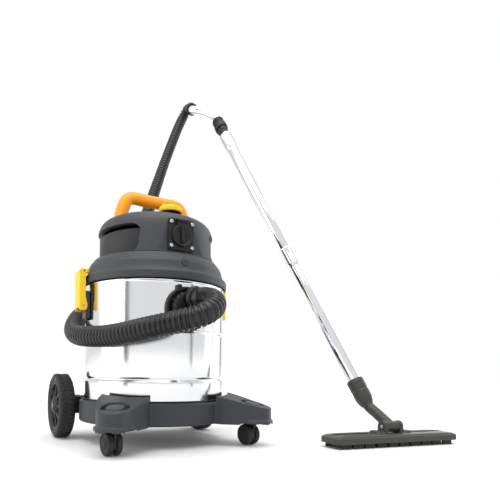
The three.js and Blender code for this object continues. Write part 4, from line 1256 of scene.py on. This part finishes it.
class VACUUM_OT_wand(Builder, Operator):
    """Bent tube, connector and the two chrome wand tubes with their spring buttons"""
    bl_idname = "vacuum.wand"
    bl_label = "Wand"

    def execute(self, context):
        f = finishes()

        def tube(name, t, extra, length, holes, cad):
            bm = bmesh.new()
            m = wand_matrix(t, extra)
            flare = [(14.2 + 2.3 * smoothstep(k / 10, 0, 1), length - 56 + 10 * k / 10)
                     for k in range(11)]
            inner = [(14.5, length - 0.6), (14.5, length - 45), (12.7, length - 54), (12.7, 0)]
            turn(bm, [(12.7, 0), (13.9, 0), (14.2, 0.5), (14.2, length - 58)] + flare
                 + [(16.5, length - 3), (16.8, length - 1.8), (16.6, length - 0.3),
                    (15.6, length)] + inner[:-1], m, 72)
            obj = piece(name, bm, f["chrome"], "machine", cad, 32)
            for at_t, at_extra in holes:
                tool = bmesh.new()
                where = on_wand(at_t, at_extra) + WAND_SIDE * 8
                turn(tool, [(0, 0), (3.4, 0), (3.4, 14), (0, 14)],
                     aim(at(*where), WAND_SIDE, WAND_WAY), 24)
                cut = to_object("hole", tool, 0)
                mod = obj.modifiers.new("hole", "BOOLEAN")
                mod.operation, mod.solver, mod.object = "DIFFERENCE", "EXACT", cut
                bake(obj)
                bpy.data.objects.remove(cut)
                obj.data.set_sharp_from_angle(angle=radians(32))

        tube("wand_tube_lower", 0, 0, WAND_HALF, [(0.5, -14)], ["tube_lower"])
        tube("wand_tube_upper", 0.5, -40, WAND_HALF + 40, [(0.5, -14), (1, -14)], ["tube_upper"])
        for name, t in (("upper", 1), ("lower", 0.5)):
            bm = bmesh.new()
            turn(bm, [(0, 9.5), (2.9, 9.5), (2.9, 17.6), (2.3, 18.6), (1.2, 19.1), (0, 19.2)],
                 aim(at(*on_wand(t, -14)), WAND_SIDE, WAND_WAY), 28)
            piece(f"spring_button_{name}", bm, f["zinc"], f"button_{name}", [f"button_{name}"])
        m = wand_matrix(1)
        bm = bmesh.new()
        turn(bm, [(11.6, -34), (13.6, -34), (13.9, -33), (13.9, 0.3), (12.9, 1.6), (12.8, 11),
                  (13.4, 14), (14.8, 17), (15.2, 19), (15.2, 23.5), (14.6, 24.2), (14.6, 43.8),
                  (15.2, 44.5), (15.2, 58), (14.6, 61), (13.2, 63.6), (11.6, 64)], m, 72)
        for k in range(3):
            turn(bm, [(14.8, 48 + 4 * k), (15.9, 48.6 + 4 * k), (15.9, 49.6 + 4 * k),
                      (14.8, 50.2 + 4 * k)], m, 72)
        piece("wand_coupler", bm, f["black"], "machine", ["wand_connector"], 32, 0.15)
        bm = bmesh.new()
        turn(bm, [(15.5, 26), (16.8, 26), (17.3, 26.8), (17.3, 41.2), (16.8, 42), (15.5, 42)], m, 72)
        for k in range(24):
            brick(bm, 1.2, 1.8, 12, m @ Matrix.Rotation(2 * pi * k / 24, 4, "Z")
                  @ Matrix.Translation((17.0 * MM, 0, 34 * MM)))
        piece("bleed_air_ring", bm, f["black"], "air_slide", ["air_slide"], 32, 0.2)

        _, _, end, way = hose_ways()
        end = end + way * 0.0004
        pts = [at(*on_wand(1, d)) for d in (6, 24, 44, 64, 76)]
        near = end + way * 0.014
        pts += [pts[4].lerp(near, 0.45) + WAND_WAY * 0.007, near, end]
        line, _ = spline(pts, 0.002)
        bm = bmesh.new()
        sweep(bm, line, 11.2 * MM, 48)
        piece("bent_chrome_tube", bm, f["chrome"], "machine", ["bent_tube"], 50)

        bm = bmesh.new()
        turn(bm, [(14.4, -14), (15.8, -14), (16.5, -13), (16.5, -9), (15.9, -8.4), (15.9, -5.6),
                  (16.5, -5), (16.5, 0), (15.8, 2), (14.6, 3), (14.4, 3)],
             aim(end - way * 0.0004, way), 64)
        piece("hose_end_cuff", bm, f["black"], "machine", ["hose_cuff"], 30)
        return {"FINISHED"}


class VACUUM_OT_nozzle(Builder, Operator):
    """Floor nozzle with its tilting neck and brushes"""
    bl_idname = "vacuum.nozzle"
    bl_label = "Floor nozzle"

    def execute(self, context):
        f, sizes = finishes(), context.scene.vacuum_sizes
        base, top = bmesh.new(), bmesh.new()
        prism(base, rounded(300, 62, 12), 11.8, in_nozzle(0, 0, 9))
        prism(top, rounded(295, 57, 11), 16, in_nozzle(0, 0, 9.2), crown=3.4)
        solids = [base, top]
        for k in (-1, 1):
            ear, block = bmesh.new(), bmesh.new()
            turn(ear, [(0, -4), (12, -4), (12, 4), (0, 4)],
                 aim(in_nozzle(k * 18.6, 0, 38).translation,
                     in_nozzle().to_3x3() @ Vector((1, 0, 0)), (0, 0, 1)), 48)
            brick(block, 8, 24, 16, in_nozzle(k * 18.6, 0, 30))
            wing = bmesh.new()
            prism(wing, rounded(26, 34, 8), 9, in_nozzle(k * 34, 0, 21), taper=0.72)
            solids += [ear, block, wing]
        cutters = []
        for w, d, r, x, y, low, high in ((236, 22, 8, 0, 0, 4, 12), (278, 6.6, 0.4, 0, -23, 6, 12),
                                         (278, 6.6, 0.4, 0, 23, 6, 12)):
            bm = bmesh.new()
            prism(bm, rounded(w, d, r), high - low, in_nozzle(x, y, low))
            cutters.append(bm)
        for k in (-1, 1):
            bm = bmesh.new()
            prism(bm, rounded(88, 15, 7), 12, in_nozzle(k * 97, 2, 22.2))
            cutters.append(bm)
            line = bmesh.new()
            prism(line, rounded(112, 1.6, 0.7), 12, in_nozzle(k * 86, -19, 23.9))
            cutters.append(line)
        bore = bmesh.new()
        turn(bore, [(0, -40), (3.8, -40), (3.8, 40), (0, 40)],
             aim(in_nozzle(0, 0, 38).translation, in_nozzle().to_3x3() @ Vector((1, 0, 0)),
                 (0, 0, 1)), 32)
        moulded("floor_nozzle", solids, cutters + [bore.copy()], 0.85, f["nozzle"], "nozzle",
                ["nozzle_body"], 0.45, 4)

        pivot = in_nozzle(0, 0, 38).translation
        low, high = at(*on_wand(0, -24)), at(*on_wand(0, -4))
        arm = bmesh.new()
        line, _ = spline([pivot, pivot.lerp(low, 0.5), low, high], 0.003)
        sweep(arm, line, 11.4 * MM, 40)
        barrel = bmesh.new()
        turn(barrel, [(0, -14.2), (11.5, -14.2), (11.5, 14.2), (0, 14.2)],
             aim(pivot, in_nozzle().to_3x3() @ Vector((1, 0, 0)), (0, 0, 1)), 48)
        socket = bmesh.new()
        turn(socket, [(0, -26), (13, -26), (15.4, -20), (17.6, -12), (18.3, -4), (18.3, 8),
                      (17.4, 9), (17.4, 11), (18.4, 12), (18.4, 31), (17.6, 34), (16.6, 36),
                      (0, 36)], wand_matrix(0), 64)
        mouth = bmesh.new()
        turn(mouth, [(0, -0.3), (14.5, -0.3), (14.5, 60), (0, 60)], wand_matrix(0), 64)
        moulded("nozzle_elbow", [arm, barrel, socket], [mouth, bore], 0.75, f["nozzle"], "machine",
                ["nozzle_neck"], 0.45, 4)
        bm = bmesh.new()
        turn(bm, [(0, -23), (3.2, -23), (3.5, -22.4), (3.5, 22.4), (3.2, 23), (0, 23)],
             aim(pivot, in_nozzle().to_3x3() @ Vector((1, 0, 0)), (0, 0, 1)), 28)
        piece("neck_axle", bm, f["zinc"], "nozzle", ["neck_pin"])

        for name, y, groups in (("front", -23, 10), ("rear", 23, 1)):
            bm = bmesh.new()
            brick(bm, 276, 5.6, 3.2, in_nozzle(0, y, 10.1))
            for k in range(sizes.tufts):
                u = k / (sizes.tufts - 1)
                if groups > 1:
                    g = int(u * groups * 0.9999)
                    inner = u * groups - g
                    x = -137 + 274 * (g + 0.1 + 0.8 * inner) / groups
                else:
                    x = -137 + 274 * u
                for row in (-1.5, 0, 1.5):
                    wob = 0.8 * sin(k * 12.9898 + row * 78.233)
                    turn(bm, [(0, 9), (1.25, 9), (1.5, 4), (1.9, 0.4 + 0.3 * abs(wob)), (0, 0.3)],
                         in_nozzle(x + 0.4 * wob, y + row + 0.3 * wob, 0), 7)
            piece(f"brush_strip_{name}", bm, f["bristle"], "nozzle", [f"brush_{name}"], 50)
        return {"FINISHED"}


class VACUUM_OT_inside(Builder, Operator):
    """Motor, fan, float valve and pleated filter inside the head"""
    bl_idname = "vacuum.inside"
    bl_label = "Inside the head"

    def execute(self, context):
        f, sizes = finishes(), context.scene.vacuum_sizes
        n = sizes.pleats
        bm = bmesh.new()
        rings = []
        for z in (206, 316):
            rings.append([bm.verts.new(at((71.5 if k % 2 else 60.5) * cos(pi * k / n),
                                          (71.5 if k % 2 else 60.5) * sin(pi * k / n), z))
                          for k in range(2 * n)])
        for k in range(2 * n):
            m = (k + 1) % (2 * n)
            bm.faces.new((rings[0][k], rings[0][m], rings[1][m], rings[1][k]))
        piece("filter_pleats", bm, f["paper"], "head", smooth_angle=20)
        bm = bmesh.new()
        turn(bm, [(0, 198), (68, 198), (72, 199.5), (74, 203), (74, 208), (72.5, 209), (58, 209),
                  (56, 206), (0, 206)], place(), 96)
        turn(bm, [(48, 314), (72, 314), (74, 315.5), (74, 322.7), (48, 322.7)], place(), 96)
        for k in range(12):
            a = 2 * pi * k / 12
            brick(bm, 2.2, 3.2, 108, place() @ Matrix.Translation(
                (72.6 * cos(a) * MM, 72.6 * sin(a) * MM, 0.261)) @ Matrix.Rotation(a, 4, "Z"))
        piece("filter_frame", bm, f["black"], "head", ["filter"], 35, 0.3)
        for name, finish in (("motor", "cast"), ("impeller", "cast"), ("float_cage", "dark"),
                             ("float_ball", "black")):
            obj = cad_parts[name]
            if not obj.material_slots:
                obj.data.materials.append(f[finish])
            obj.material_slots[0].link = "OBJECT"
            obj.material_slots[0].material = f[finish]
        return {"FINISHED"}


class VACUUM_PT_panel(Panel):
    bl_label = "Shop Vacuum"
    bl_space_type = "VIEW_3D"
    bl_region_type = "UI"
    bl_category = "Vacuum"

    def draw(self, context):
        layout = self.layout
        for group in (context.scene.vacuum_sizes, context.scene.vacuum_colours):
            for key in group.bl_rna.properties.keys():
                if key not in ("rna_type", "name"):
                    layout.prop(group, key)
        for op in PIECES:
            layout.operator(op.bl_idname)


PIECES = (VACUUM_OT_stage, VACUUM_OT_hose, VACUUM_OT_drum, VACUUM_OT_base, VACUUM_OT_rear_wheels,
          VACUUM_OT_casters, VACUUM_OT_inlet, VACUUM_OT_head, VACUUM_OT_handle, VACUUM_OT_knob,
          VACUUM_OT_socket, VACUUM_OT_latches, VACUUM_OT_wand, VACUUM_OT_nozzle,
          VACUUM_OT_inside)
CLASSES = (VacuumSizes, VacuumColours, *PIECES, VACUUM_PT_panel)


def register():
    for cls in CLASSES:
        bpy.utils.register_class(cls)
    bpy.types.Scene.vacuum_sizes = PointerProperty(type=VacuumSizes)
    bpy.types.Scene.vacuum_colours = PointerProperty(type=VacuumColours)


def unregister():
    del bpy.types.Scene.vacuum_colours
    del bpy.types.Scene.vacuum_sizes
    for cls in reversed(CLASSES):
        bpy.utils.unregister_class(cls)


def main():
    register()
    for op in PIECES:
        getattr(bpy.ops.vacuum, op.bl_idname.split(".")[1])()


if __name__ == "__main__":
    main()
